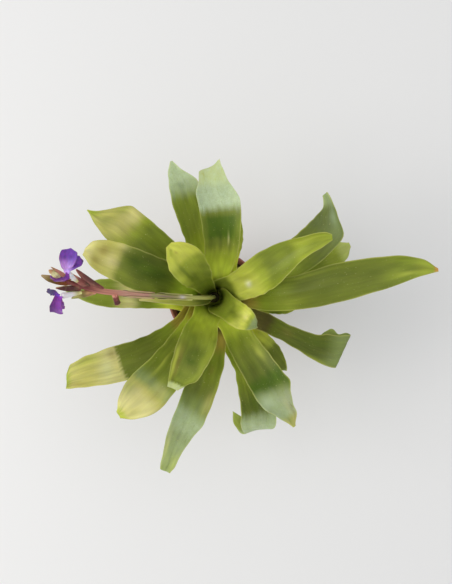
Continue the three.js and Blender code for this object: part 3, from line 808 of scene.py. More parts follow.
@dataclass(frozen=True)
class Leaf:
    """One leaf of the rosette, as in the part.

    Attributes:
        name: its name.
        heading: directions along the blade in degrees, left of +X, eased by a curve.
        length: the blade beyond the sheath.
        half: half of its greatest width.
        rise: angles above the horizon along the blade, eased by a curve.
        tip: length of the pointed end.
        outline: instead of a plain pointed end, the left and right margins as shares of "half" left of
            the midline, each with its share of the blade.
        neck: half of its width above the sheath.
        sheath: half of its width at the sheath.
        curl: radius across the blade at the tip, where it is rolled into a channel.
        fold: where the blade bends over.
    """

    name: str
    heading: tuple[float, ...]
    length: float
    half: float
    rise: tuple[float, ...]
    tip: float = 0.0
    outline: tuple[Point, ...] = ()
    neck: float = 12.5
    sheath: float = 17.0
    curl: float = 34.0
    fold: Fold = Fold(2.0, 0.0, 1.0, 0.0)


@dataclass
class Midline:
    """A leaf's midline, followed from the stem to the tip: one value or vector for each step."""

    s: Array
    u: Array
    flat: Array
    aside: Array
    along: Array
    place: Array
    radius: Array
    bowl: float
    rise: float
    total: float

    def pick(self, index: Array) -> "Midline":
        """The same midline with some of its steps."""
        kept = {key: value[index] for key, value in vars(self).items() if isinstance(value, np.ndarray)}
        return replace(self, **kept)


@dataclass
class Rosette:
    """The funnel of leaves on the stem, from the outermost to the innermost.

    Its numbers hold for every leaf. Lengths are in millimetres and rise_base is one of them. A name with
    "count" is a number of waves along a blade, and neck_from, widest_at and turn_round are shares of the
    sheath or the blade. The crowding numbers draw rows to the tip and columns to the margins.
    """

    pitch: float = 1.4
    outer_radius: float = 34.0
    lowest: float = 79.5
    bowl: float = 14.0
    wrap: float = 1.5
    rise_base: float = 30.0
    rise_per_level: float = 1.15
    thick: float = 0.95
    edge: float = 0.6
    cup: float = 34.0
    wave_height: float = 1.6
    wave_count: float = 1.3
    wave_shift: float = 2.1
    frill_height: float = 0.35
    frill_count: float = 4.3
    crease_depth: float = 0.45
    crease_width: float = 0.14
    margin: float = 1.1
    tip_fade: float = 6.0
    opening: float = 30.0
    crowding: float = 0.8
    rough: float = 0.25
    rough_count: float = 9.0
    neck_from: float = 0.45
    widest_at: float = 0.6
    tip_fullness: float = 0.85
    tip_half: float = 0.5
    tip_crowding: float = 1.6
    turn_round: float = 0.02
    steps: int = 400
    row_length: float = 1.6
    columns: int = 28

    def midline(self, leaf: Leaf, level: int, stem: "Stem", across: float = 0.0) -> Midline:
        """Follows a leaf's midline in small steps from the stem to its tip.

        Round the bowl the leaf's angle above the horizon is that of a quarter ellipse. Up the sheath it
        eases from upright to the blade's first angle, and on the blade it is a Bezier curve of the
        share u of the blade. A fold adds its own turn by a soft step of u, and if it is skewed it starts
        elsewhere for each share across the leaf.

        Args:
            leaf: the leaf.
            level: its place in the rosette, 0 for the outermost.
            stem: what it stands against.
            across: the share across the leaf, -1 at its right margin to 1 at its left.

        Returns:
            The midline.
        """
        seat_z = self.lowest + self.pitch * level
        seat_r = stem.radius_at(seat_z) + GAP + self.thick / 2
        reach = self.outer_radius - self.pitch * level - seat_r
        rise = self.rise_base + self.rise_per_level * level
        bowl = math.pi / 2 * math.sqrt((reach ** 2 + self.bowl ** 2) / 2)
        total = bowl + rise + leaf.length
        s = np.linspace(0.0, total, self.steps + 1)
        u = np.clip((s - bowl - rise) / leaf.length, 0.0, 1.0)
        bent = smooth((u - leaf.fold.at - leaf.fold.skew * across) / leaf.fold.over)
        flat = smooth((u - leaf.fold.at + leaf.fold.over) / leaf.fold.over)
        turn = np.clip(s / bowl, 0.0, 1.0) * math.pi / 2
        in_bowl = np.arctan2(self.bowl * np.sin(turn), reach * np.cos(turn))
        in_sheath = np.radians(mix(90.0, leaf.rise[0], smooth((s - bowl) / rise)))
        on_blade = np.radians(bezier(leaf.rise, u))
        climb = np.where(s < bowl, in_bowl, np.where(u <= 0.0, in_sheath, on_blade))
        climb = climb + np.radians(leaf.fold.by) * bent
        aside = np.radians(bezier(leaf.heading, u) + leaf.fold.swing * bent)
        along = np.stack([np.cos(climb) * np.cos(aside), np.cos(climb) * np.sin(aside), np.sin(climb)], -1)
        start = math.radians(leaf.heading[0])
        seat = np.array([seat_r * math.cos(start), seat_r * math.sin(start), seat_z])
        moved = np.cumsum(along * (total / self.steps), axis=0)
        place = seat + np.vstack([np.zeros(3), moved[:-1]])
        around = np.hypot(place[:, 0], place[:, 1])
        return Midline(s, u, flat, aside, along, place, around, bowl, rise, total)

    def rows(self, line: Midline) -> Array:
        """Picks a leaf's rows: even steps, which get shorter over the last stretch up to the tip."""
        count = int(line.total / self.row_length)
        t = np.arange(count + 1) / count
        t = mix(t, 1.0 - (1.0 - t) ** self.tip_crowding, smooth((t - 0.6) / 0.4))
        return np.unique(np.round(t * self.steps).astype(int))

    def margins(self, leaf: Leaf, line: Midline, level: int) -> tuple[Array, Array]:
        """A leaf's margins along it, as distances left of its midline.

        There is a broad sheath, a narrower neck, and the blade, which follows the leaf's own outline
        with its turns rounded, or runs out in a point by a quarter sine wave. Small unevenness is added.

        Args:
            leaf: the leaf.
            line: its midline.
            level: its place in the rosette, which seeds the unevenness.

        Returns:
            The left and the right margin.
        """
        sheathed = line.bowl + line.rise
        neck = min(leaf.neck, leaf.half)
        around = self.wrap * line.radius
        sheath = np.minimum(leaf.sheath, around)
        narrowed = smooth((line.s / sheathed - self.neck_from) / (1.0 - self.neck_from))
        low = np.minimum(mix(sheath, neck, narrowed), around)
        rough = self.rough * smooth(line.u * 5)
        sides = []
        for side, sign in ((1, 1.0), (2, -1.0)):
            if leaf.outline:
                turns = np.array([(0.0, sign * neck / leaf.half)]
                                 + [(turn[0], turn[side]) for turn in leaf.outline])
                eased = [np.interp(line.u + shift, turns[:, 0], turns[:, 1])
                         for shift in np.linspace(-self.turn_round, self.turn_round, 5)]
                blade = np.mean(eased, axis=0) * leaf.half
            else:
                to_tip = np.clip((line.total - line.s) / leaf.tip, 0.0, 1.0)
                blade = mix(neck, leaf.half, smooth(line.u / self.widest_at))
                blade = blade * np.sin(to_tip * math.pi / 2) ** self.tip_fullness
                blade = sign * np.maximum(blade, self.tip_half)
            seed = 90 + level + 30 * side
            blade = blade + rough * unevenness(seed, line.u * self.rough_count, 0 * line.u)
            sides.append(np.where(line.s < sheathed, sign * low, blade))
        return sides[0], sides[1]

    def waves(self, line: Midline, level: int, v: Array) -> Array:
        """How far a slow wave, a faint frill and the crease lift each point of a leaf.

        Args:
            line: the leaf's midline.
            level: its place in the rosette, which shifts the waves.
            v: the place across, -1 to 1.

        Returns:
            The lift on the grid. It fades out where the blade starts and where it folds.
        """
        free = smooth(line.u * 3) * (1 - line.flat)
        phase = 2 * math.pi * self.wave_count * line.u + self.wave_shift * level
        wave = self.wave_height * free * np.sin(phase)
        frill = self.frill_height * free * np.sin(2 * math.pi * self.frill_count * line.u + level)
        crease = self.crease_depth * smooth(line.u * 4) * (1 - smooth((line.u - 0.6) / 0.3)) * (1 - line.flat)
        return (wave[:, None] * v * np.abs(v) + frill[:, None] * v ** 4 * np.sign(v + 0.3)
                - crease[:, None] * bump(v, 0.0, self.crease_width))

    def skin(self, leaf: Leaf, level: int, stem: "Stem") -> Skin:
        """Works out a leaf's surface.

        Across the leaf each row is an arc: its radius eases from the leaf's distance from the axis, at
        the sheath, to that of a shallow channel on the blade, which is flat where it folds. Its columns
        crowd towards the margins. The thickness falls from the middle to the margins and the tip.

        Args:
            leaf: the leaf.
            level: its place in the rosette, 0 for the outermost.
            stem: what it stands against.

        Returns:
            The closed sheet, with its colours.
        """
        crowded = np.sin(np.linspace(-1.0, 1.0, self.columns + 1) * math.pi / 2 * self.crowding)
        v = crowded / crowded[-1]
        line = self.midline(leaf, level, stem)
        index = self.rows(line)
        line = line.pick(index)
        strands = [self.midline(leaf, level, stem, share).pick(index) for share in v]
        place = np.stack([strand.place for strand in strands], 1)
        along = np.stack([strand.along for strand in strands], 1)
        turned = np.stack([strand.aside for strand in strands], 1)
        side = np.stack([-np.sin(turned), np.cos(turned), 0 * turned], -1)
        left, right = self.margins(leaf, line, level)
        base = math.radians(leaf.heading[0])
        inward = np.array([-math.cos(base), -math.sin(base), 0.0])
        opened = smooth((line.s - line.bowl) / (line.rise + self.opening))
        centre = unit(mix(inward, np.cross(along, side), opened[:, None, None]))
        bow = mix(1 / self.cup, 1 / leaf.curl, line.u ** 3) * mix(1.0, 0.1, line.flat)
        radius = (1 / mix(1 / line.radius, bow, opened))[:, None]
        angle = mix(right[:, None], left[:, None], (v + 1) / 2) / radius
        lift = radius * (1 - np.cos(angle)) + self.waves(line, level, v)
        middle = place + side * (radius * np.sin(angle))[..., None] + centre * lift[..., None]
        half = ((left - right) / 2)[:, None]
        from_margin = (1 - np.abs(v)) * half
        thick = mix(self.thick, self.edge, v ** 2) * mix(0.45, 1.0, smooth(from_margin / self.margin))
        thick = thick * mix(0.5, 1.0, smooth((line.total - line.s) / self.tip_fade))[:, None]
        share = (line.s - line.bowl - line.rise) / leaf.length
        along_share = np.broadcast_to(share[:, None], thick.shape)
        across_share = np.broadcast_to(v, thick.shape)
        edge = 1 - smooth(from_margin / self.margin)
        upper, lower = COATS[leaf.name].paint(along_share, across_share, edge, level)
        return Skin(middle, thick, np.broadcast_to(line.s[:, None], thick.shape), v * half, upper, lower)

    def build(self, stem: "Stem") -> None:
        """Makes every leaf and dresses it by its age."""
        finishes = {age: age.value.material() for age in Age}
        for level, leaf in enumerate(LEAVES):
            age = Age.of(level)
            piece = write_mesh(leaf.name + "_leaf", self.skin(leaf, level, stem).form())
            dress(piece, finishes[age], "leaf_" + age.name.lower(), "leaf_" + leaf.name)


class Age(Enum):
    """The three ages of leaves, which differ in gloss, veins and wear."""

    OUTER = LeafFinish("old_leaf", roughness=0.5, veins=0.2, specks=0.45, wrinkles=0.3)
    MIDDLE = LeafFinish("grown_leaf", roughness=0.44, veins=0.16, specks=0.35, wrinkles=0.25)
    INNER = LeafFinish("young_leaf", roughness=0.38, veins=0.12, specks=0.15, wrinkles=0.1)

    @staticmethod
    def of(level: int) -> "Age":
        """The age of a leaf by its place in the rosette, 0 for the outermost."""
        return Age.OUTER if level < 8 else Age.MIDDLE if level < 17 else Age.INNER


LEAVES = (
    Leaf("under_right", (-6, -2), 36, 10, (24, 2, -30), 22),
    Leaf("low_left", (178, 176, 178), 94, 14, (30, 4, -14), 50),
    Leaf("low_right_back", (19, 22), 93, 12, (30, 8, -20),
         outline=((0.3, 1, -1), (0.8, 0.95, -1), (0.93, 0.65, -0.65), (1, 0.35, 0.1))),
    Leaf("low_front_right", (-46, -44), 54, 12.5, (30, 4, -30), 28),
    Leaf("low_back", (74, 74, 78), 42, 13, (34, 20, -10), 34),
    Leaf("curled_right", (-28, -27, 10), 118, 14, (34, 0, -11), neck=9,
         outline=((0.1, 0.8, -0.5), (0.28, 0.7, -0.43), (0.43, 0.72, -0.6), (0.53, 0.78, -0.85),
                  (0.6, 0.98, -1.02), (0.7, 1.02, -1.11), (0.8, 1.12, -0.9), (0.86, 1.28, -0.6),
                  (0.9, 0.85, -0.5), (0.95, 1.25, -0.4), (1, 0.8, -0.2)),
         fold=Fold(0.715, -172, 0.11, -20, 0.025)),
    Leaf("long_left_front", (-134, -152, -178, -170), 119, 17, (38, 14, -16),
         outline=((0.3, 0.9, -0.95), (0.6, 0.9, -1.1), (0.83, 0.82, -0.8), (0.97, 0.78, -0.43),
                  (1, 0.72, 0.1))),
    Leaf("rolled_front", (-65, -74, -85), 114, 16, (38, 11, -14),
         outline=((0.3, 0.8, -0.55), (0.48, 0.85, -0.76), (0.61, 0.95, -0.82), (0.7, 1.02, -1),
                  (0.78, 0.9, -1.08), (0.84, 0.6, -1.2), (0.93, 0.25, -1), (1, 0, -0.45)),
         fold=Fold(0.735, -185, 0.14, 44, 0.045)),
    Leaf("pale_left_back", (140, 141, 143), 103, 19, (42, 18, -12),
         outline=((0.3, 0.95, -0.9), (0.6, 1.08, -0.95), (0.72, 1.08, -0.95), (0.79, 0.98, -0.55),
                  (0.86, 0.86, -0.07), (0.93, 0.7, 0.3), (1, 0.55, 0.5))),
    Leaf("long_front", (-91, -112, -130, -104), 134, 14.5, (40, 12, -30),
         outline=((0.25, 0.9, -1), (0.42, 0.92, -1.05), (0.58, 1.02, -0.95), (0.68, 0.74, -0.85),
                  (0.8, 0.58, -0.6), (0.93, 0.5, -0.42), (1, 0.31, -0.35))),
    Leaf("dark_right_back", (24, 24, 24, 50, 126), 118, 17, (44, 16, -12),
         outline=((0.3, 0.95, -0.85), (0.55, 1, -0.9), (0.66, 0.95, -0.95), (0.75, 0.84, -1.13),
                  (0.83, 0.6, -0.57), (0.92, 0.18, -0.32), (1, -0.02, -0.3))),
    Leaf("back_left", (103, 104, 106), 97, 14, (46, 24, -6),
         outline=((0.3, 0.9, -0.95), (0.6, 1.1, -0.95), (0.78, 1.02, -0.85), (0.9, 0.85, -0.08),
                  (1, 0.5, 0.4))),
    Leaf("pale_front_left", (-122, -126, -140), 106, 20, (46, 20, -18),
         outline=((0.3, 0.8, -0.75), (0.5, 0.95, -0.85), (0.66, 1, -1), (0.75, 0.95, -0.97),
                  (0.83, 0.74, -0.85), (0.92, 0.46, -0.6), (1, 0, -0.28))),
    Leaf("long_right", (5, 22, -4), 170, 18, (46, 14, -10),
         outline=((0.12, 0.55, -0.95), (0.32, 0.56, -1.14), (0.5, 0.76, -1.15), (0.72, 0.69, -0.85),
                  (0.86, 0.6, -0.5), (0.93, 0.42, -0.3), (1, 0.04, -0.08))),
    Leaf("broad_front_right", (-53, -56, -62), 112, 17, (52, 24, -22),
         outline=((0.25, 0.58, -1), (0.5, 0.68, -1.15), (0.67, 0.82, -1.18), (0.75, 0.52, -1.1),
                  (0.83, 0.34, -0.74), (0.91, 0.27, -0.5), (1, -0.1, -0.2))),
    Leaf("broad_left", (160, 160, 163), 98, 17, (54, 28, -14),
         outline=((0.3, 0.95, -1), (0.5, 1, -1.06), (0.68, 0.84, -1.1), (0.8, 0.74, -1.04),
                  (0.9, 0.52, -0.88), (0.97, 0.22, -0.64), (1, 0.08, -0.2))),
    Leaf("broad_back", (81, 90, 104, 94), 110, 17.5, (58, 50, -20, -44), sheath=14,
         outline=((0.2, 0.72, -0.92), (0.5, 0.84, -1.15), (0.62, 0.92, -1.18), (0.69, 1, -0.96),
                  (0.77, 0.76, -0.66), (0.89, 0.66, -0.53), (0.94, 0.05, -0.45), (1, -0.27, -0.36))),
    Leaf("young_front_left", (-109, -110, -116), 73, 16.5, (62, 44, -20),
         outline=((0.3, 1, -0.95), (0.5, 1.08, -0.96), (0.72, 0.88, -0.85), (0.82, 0.76, -0.73),
                  (0.87, 0.46, -0.66), (1, 0.08, -0.48))),
    Leaf("young_right_back", (24, 50, 8), 108, 16.5, (62, 40, 6), curl=6,
         outline=((0.3, 0.9, -1.05), (0.5, 0.97, -1.08), (0.64, 0.88, -0.86), (0.74, 0.73, -0.58),
                  (0.82, 0.54, -0.46), (0.91, 0.57, -0.36), (0.97, 0.44, -0.13), (1, 0.17, -0.02))),
    Leaf("young_front_right", (-34, -34, -28), 38, 11, (70, 60, -60), 20),
    Leaf("young_back_left", (124, 126, 134), 61, 14.5, (72, 56, 14), neck=9, sheath=6.5,
         outline=((0.3, 0.9, -0.9), (0.6, 1.1, -1.05), (0.74, 1.08, -1.05), (0.86, 0.78, -0.8),
                  (0.95, 0.52, -0.4), (1, 0.3, -0.1))),
)

# Zones with a dust-and-sheen share, mostly on the drooping ends past a fold, and the frost and mint patches
# near those ends paint the plant's pale bloom together with painted sheen of the window's light. The foot
# values set the painted glow at the foot of each leaf.
COATS = {
    "under_right": Coat(Tone.LEAF, (Zone(0.5, Tone.YOUNG, 0.3),)),
    "low_left": Coat(
        Tone.LIME,
        (Zone(0.05, Tone.LEAF, 0.2), Zone(0.28, Tone.CREAM, 0.12), Zone(0.46, Tone.LEAF, 0.2),
         Zone(0.8, Tone.SAGE, 0.15))),
    "low_right_back": Coat(Tone.LEAF, (Zone(0.7, Tone.YOUNG, 0.15), Zone(0.86, Tone.LIME, 0.1, 0, 0.25))),
    "low_front_right": Coat(
        Tone.LEMON,
        (Zone(0.36, Tone.LIME, 0.1), Zone(0.48, Tone.OLIVE, 0.12), Zone(0.95, Tone.SAGE, 0.05))),
    "low_back": Coat(Tone.LIME, (Zone(0.3, Tone.YOUNG, 0.2), Zone(0.6, Tone.LEAF, 0.3))),
    "curled_right": Coat(
        Tone.HUSK,
        (Zone(0.17, Tone.OLIVE, 0.1), Zone(0.36, Tone.MOSS, 0.2), Zone(0.66, Tone.SAGE, 0.16, 0, 0.05),
         Zone(0.86, Tone.YOUNG, 0.06)),
        (Patch(0.3, 0.1, 0.05, 0.5, Tone.RUST, 0.3), Patch(0.55, 0.3, 0.12, 0.3, Tone.FOREST, 0.35),
         Patch(0.7, -0.7, 0.1, 0.3, Tone.SAGE, 0.7), Patch(0.55, -0.9, 0.1, 0.12, Tone.LIME, 0.4)),
        foot=1.3),
    "long_left_front": Coat(
        Tone.RUST,
        (Zone(0.06, Tone.LEAF, 0.12), Zone(0.26, Tone.OLIVE, 0.15), Zone(0.575, Tone.CREAM, 0.025, -0.015),
         Zone(0.72, Tone.STRAW, 0.2), Zone(0.97, Tone.YOUNG, 0.05)),
        (Patch(0.62, -0.6, 0.035, 0.35, Tone.RUST, 0.55), Patch(0.52, 0.2, 0.05, 0.6, Tone.OLIVE, 0.4),
         Patch(0.68, 0.1, 0.05, 0.5, Tone.FROST, 0.25), Patch(0.82, -0.7, 0.1, 0.3, Tone.YOUNG, 0.5),
         Patch(0.9, 0.75, 0.1, 0.2, Tone.RUST, 0.4)), mottle=0.14),
    "rolled_front": Coat(
        Tone.YOUNG,
        (Zone(0.4, Tone.LEAF, 0.1), Zone(0.47, Tone.OLIVE, 0.1), Zone(0.54, Tone.MOSS, 0.1),
         Zone(0.68, Tone.SAGE, 0.1, 0, 0.5), Zone(0.75, Tone.SAGE, 0.08, 0, 0.8),
         Zone(0.86, Tone.LEAF, 0.05)),
        (Patch(0.72, 0.4, 0.03, 0.3, Tone.MOSS, 0.5), Patch(0.58, 0.0, 0.08, 0.4, Tone.FOREST, 0.4)),
        under=Tone.YOUNG),
    "pale_left_back": Coat(
        Tone.LEAF,
        (Zone(0.52, Tone.YOUNG, 0.1), Zone(0.6, Tone.STRAW, 0.1), Zone(0.9, Tone.YOUNG, 0.12)),
        # The cream spots at 0.66 and 0.7 along are partly the leaf's pale mottling and partly painted
        # highlights.
        (Patch(0.66, -0.7, 0.06, 0.45, Tone.CREAM, 0.9), Patch(0.76, -0.75, 0.04, 0.3, Tone.LEAF, 0.5),
         Patch(0.7, 0.25, 0.05, 0.4, Tone.CREAM, 0.5), Patch(0.82, 0.15, 0.05, 0.35, Tone.SAGE, 0.45),
         Patch(0.9, 0.5, 0.04, 0.3, Tone.CREAM, 0.5), Patch(0.6, 0.7, 0.1, 0.3, Tone.LIME, 0.6),
         Patch(0.42, -0.4, 0.1, 0.4, Tone.LEAF, 0.6)), mottle=0.15),
    "long_front": Coat(
        Tone.HUSK,
        (Zone(-0.04, Tone.RUST, 0.1), Zone(0.1, Tone.LEAF, 0.12), Zone(0.34, Tone.OLIVE, 0.12),
         Zone(0.44, Tone.SAGE, 0.1), Zone(0.54, Tone.SAGE, 0.1, 0.02, 0.55),
         Zone(0.68, Tone.SAGE, 0.1, 0, 0.3), Zone(0.84, Tone.LEAF, 0.12, 0, 0.3)),
        (Patch(0.45, 0.75, 0.08, 0.25, Tone.STRAW, 0.7), Patch(0.72, -0.2, 0.04, 0.4, Tone.MOSS, 0.5),
         Patch(0.85, 0.0, 0.12, 0.08, Tone.MOSS, 0.45), Patch(0.8, -0.75, 0.12, 0.2, Tone.STRAW, 0.6),
         Patch(0.92, 0.6, 0.08, 0.3, Tone.LIME, 0.5), Patch(0.24, 0.3, 0.03, 0.15, Tone.RUST, 0.4))),
    "dark_right_back": Coat(
        Tone.YOUNG,
        (Zone(0.42, Tone.LEAF, 0.12), Zone(0.54, Tone.OLIVE, 0.16, 0, 0.05),
         Zone(0.7, Tone.MOSS, 0.1, 0, 0.1), Zone(0.92, Tone.SAGE, 0.08, 0, 0.3)),
        (Patch(0.74, -0.6, 0.08, 0.5, Tone.SAGE, 0.7), Patch(0.84, -0.5, 0.06, 0.3, Tone.MINT, 0.4),
         Patch(0.62, 0.4, 0.1, 0.3, Tone.MOSS, 0.4))),
    "back_left": Coat(
        Tone.YOUNG,
        (Zone(0.3, Tone.LEAF, 0.2), Zone(0.7, Tone.SAGE, 0.14, 0, 0.5),
         Zone(0.8, Tone.SAGE, 0.08, -0.02, 0.75)),
        (Patch(0.765, 0.1, 0.022, 0.25, Tone.FOREST, 0.75), Patch(0.79, 0.35, 0.012, 0.3, Tone.FOREST, 0.5),
         Patch(0.8, -0.2, 0.012, 0.25, Tone.FOREST, 0.4))),
    "pale_front_left": Coat(
        Tone.RUST,
        (Zone(-0.05, Tone.YOUNG, 0.15), Zone(0.15, Tone.LEAF, 0.15),
         Zone(0.58, Tone.SAGE, 0.08, 0, 0.1), Zone(0.66, Tone.STRAW, 0.08), Zone(0.72, Tone.CREAM, 0.1),
         Zone(0.95, Tone.LIME, 0.06)),
        (Patch(0.42, -0.35, 0.14, 0.07, Tone.LIME, 0.8), Patch(0.62, 0.5, 0.05, 0.4, Tone.STRAW, 0.7),
         Patch(0.58, -0.6, 0.06, 0.3, Tone.SAGE, 0.6), Patch(0.76, -0.75, 0.07, 0.3, Tone.LEAF, 0.5),
         Patch(0.88, 0.5, 0.06, 0.3, Tone.STRAW, 0.5)), mottle=0.14),
    "long_right": Coat(
        Tone.HUSK,
        (Zone(-0.05, Tone.RUST, 0.12), Zone(0.05, Tone.LEAF, 0.12), Zone(0.27, Tone.OLIVE, 0.1),
         Zone(0.74, Tone.LEAF, 0.12), Zone(0.9, Tone.YOUNG, 0.08),
         Zone(0.985, Tone.AMBER, 0.02)),
        (Patch(0.35, 0.8, 0.15, 0.12, Tone.YOUNG, 0.6), Patch(0.84, -0.4, 0.05, 0.15, Tone.LIME, 0.6),
         Patch(0.45, -0.2, 0.08, 0.25, Tone.MOSS, 0.6), Patch(0.55, 0.4, 0.1, 0.25, Tone.MOSS, 0.5),
         Patch(0.68, 0.1, 0.06, 0.3, Tone.MOSS, 0.5), Patch(0.78, 0.4, 0.05, 0.2, Tone.MOSS, 0.5),
         Patch(0.25, -0.5, 0.08, 0.3, Tone.YOUNG, 0.4)), mottle=0.14),
    "broad_front_right": Coat(
        Tone.YOUNG,
        (Zone(0.12, Tone.LEAF, 0.12), Zone(0.3, Tone.OLIVE, 0.1), Zone(0.4, Tone.MOSS, 0.1),
         Zone(0.54, Tone.FOREST, 0.08), Zone(0.665, Tone.SAGE, 0.09, 0.04, 0.2),
         Zone(0.72, Tone.SAGE, 0.1, 0.03, 0.55), Zone(0.9, Tone.STRAW, 0.08, 0, 0.1)),
        (Patch(0.36, 0.6, 0.08, 0.2, Tone.LIME, 0.6), Patch(0.3, 0.0, 0.1, 0.3, Tone.MOSS, 0.5),
         Patch(0.82, 0.6, 0.1, 0.4, Tone.RUST, 0.65), Patch(0.72, -0.55, 0.05, 0.4, Tone.FROST, 0.4),
         Patch(0.7, 0.5, 0.05, 0.4, Tone.SAGE, 0.5), Patch(0.93, -0.3, 0.05, 0.4, Tone.LEAF, 0.5),
         Patch(0.15, 0.8, 0.1, 0.12, Tone.LIME, 0.6)), mottle=0.14, foot=1.2),
    "broad_left": Coat(
        Tone.LEAF,
        (Zone(0.14, Tone.OLIVE, 0.15), Zone(0.26, Tone.MOSS, 0.15),
         Zone(0.6, Tone.OLIVE, 0.1), Zone(0.69, Tone.STRAW, 0.08), Zone(0.92, Tone.CREAM, 0.06)),
        (Patch(0.34, -0.15, 0.2, 0.45, Tone.FOREST, 0.8), Patch(0.55, -0.35, 0.1, 0.35, Tone.FOREST, 0.6),
         Patch(0.76, 0.1, 0.06, 0.4, Tone.CREAM, 0.95), Patch(0.7, -0.9, 0.05, 0.25, Tone.CREAM, 0.8),
         Patch(0.84, -0.3, 0.05, 0.45, Tone.RUST, 0.6), Patch(0.88, 0.5, 0.05, 0.3, Tone.RUST, 0.5),
         Patch(0.4, 0.75, 0.2, 0.3, Tone.LEAF, 0.7), Patch(0.6, 0.6, 0.1, 0.3, Tone.YOUNG, 0.4)),
        mottle=0.14, foot=1.3),
    "broad_back": Coat(
        Tone.YOUNG,
        # The dark forest band from 0.33 to 0.51 along is the leaf's dark green deepened by painted shade,
        # where the blade faces away from the window before it folds.
        (Zone(0.24, Tone.OLIVE, 0.12), Zone(0.33, Tone.FOREST, 0.07), Zone(0.51, Tone.OLIVE, 0.05),
         Zone(0.565, Tone.SAGE, 0.08, 0, 0.9), Zone(0.76, Tone.LIME, 0.1, 0, 0.8)),
        (Patch(0.66, -0.3, 0.035, 0.05, Tone.FOREST, 0.75), Patch(0.665, -0.15, 0.03, 0.04, Tone.FOREST, 0.6),
         Patch(0.68, -0.45, 0.03, 0.05, Tone.MOSS, 0.5), Patch(0.7, 0.4, 0.025, 0.5, Tone.SAGE, 0.35),
         Patch(0.33, -0.35, 0.05, 0.03, Tone.CREAM, 0.7), Patch(0.42, 0.9, 0.14, 0.2, Tone.LEAF, 0.8),
         Patch(0.42, -0.9, 0.14, 0.2, Tone.LEAF, 0.7), Patch(0.86, 0.8, 0.06, 0.2, Tone.LIME, 0.6),
         Patch(0.2, -0.8, 0.2, 0.2, Tone.YOUNG, 0.5))),
    "young_front_left": Coat(
        Tone.YOUNG,
        (Zone(0.25, Tone.LEAF, 0.2), Zone(0.42, Tone.OLIVE, 0.15), Zone(0.74, Tone.LEAF, 0.1),
         Zone(0.93, Tone.LIME, 0.03, 0, 0.6)),
        (Patch(0.52, 0.1, 0.06, 0.3, Tone.FOREST, 0.6), Patch(0.63, 0.05, 0.04, 0.35, Tone.FOREST, 0.8),
         # The thin moss band at 0.905 along is a painted shadow line where the end curls over.
         Patch(0.82, -0.1, 0.05, 0.5, Tone.MOSS, 0.4), Patch(0.905, 0.0, 0.012, 0.7, Tone.MOSS, 0.7),
         Patch(0.7, -0.82, 0.22, 0.12, Tone.LEMON, 0.85), Patch(0.7, -0.6, 0.2, 0.12, Tone.RUST, 0.6),
         Patch(0.2, 0.5, 0.15, 0.35, Tone.YOUNG, 0.6), Patch(0.6, 0.8, 0.25, 0.2, Tone.YOUNG, 0.6)),
        foot=0.6),
    "young_right_back": Coat(
        Tone.OLIVE,
        (Zone(-0.04, Tone.LIME, 0.12), Zone(0.32, Tone.YOUNG, 0.12), Zone(0.42, Tone.LEAF, 0.12),
         Zone(0.7, Tone.YOUNG, 0.1)),
        (Patch(0.5, 0.2, 0.06, 0.4, Tone.OLIVE, 0.9), Patch(0.68, 0.35, 0.05, 0.4, Tone.OLIVE, 0.9),
         # The snow-white spot at 0.17 along is a painted highlight.
         Patch(0.45, -0.55, 0.06, 0.3, Tone.OLIVE, 0.7), Patch(0.17, -0.1, 0.035, 0.2, Tone.SNOW, 0.75),
         Patch(0.15, 0.0, 0.09, 0.5, Tone.LEMON, 0.5), Patch(0.86, -0.2, 0.06, 0.4, Tone.LEAF, 0.6),
         Patch(0.8, 0.5, 0.08, 0.3, Tone.LIME, 0.6)), foot=0.1),
    "young_front_right": Coat(
        Tone.LEAF,
        (Zone(0.2, Tone.YOUNG, 0.16), Zone(0.4, Tone.LIME, 0.15), Zone(0.53, Tone.LEMON, 0.06, -0.08),
         Zone(0.7, Tone.YOUNG, 0.05, -0.04), Zone(0.78, Tone.SAGE, 0.08, 0, 0.2)),
        (Patch(0.2, -0.1, 0.2, 0.35, Tone.MOSS, 0.7), Patch(0.4, -0.2, 0.1, 0.3, Tone.OLIVE, 0.6),
         Patch(0.62, 0.2, 0.05, 0.3, Tone.BUTTER, 0.4), Patch(0.3, 0.8, 0.25, 0.2, Tone.LIME, 0.8)),
        foot=0.1),
    "young_back_left": Coat(
        Tone.MOSS,
        (Zone(0.08, Tone.OLIVE, 0.16), Zone(0.22, Tone.LEAF, 0.16), Zone(0.42, Tone.YOUNG, 0.2),
         Zone(0.68, Tone.LEMON, 0.12)),
        (Patch(0.45, 0.42, 0.28, 0.09, Tone.FOREST, 0.75), Patch(0.3, 0.2, 0.2, 0.25, Tone.MOSS, 0.5),
         Patch(0.55, 0.78, 0.3, 0.25, Tone.LIME, 0.85), Patch(0.93, 0.35, 0.012, 0.08, Tone.SCAR, 0.8),
         Patch(0.86, 0.1, 0.03, 0.1, Tone.RUST, 0.6), Patch(0.9, 0.5, 0.05, 0.2, Tone.YOUNG, 0.6),
         Patch(0.4, -0.7, 0.25, 0.3, Tone.OLIVE, 0.5)), foot=0.5),
}


# The stem, the pot and its filling

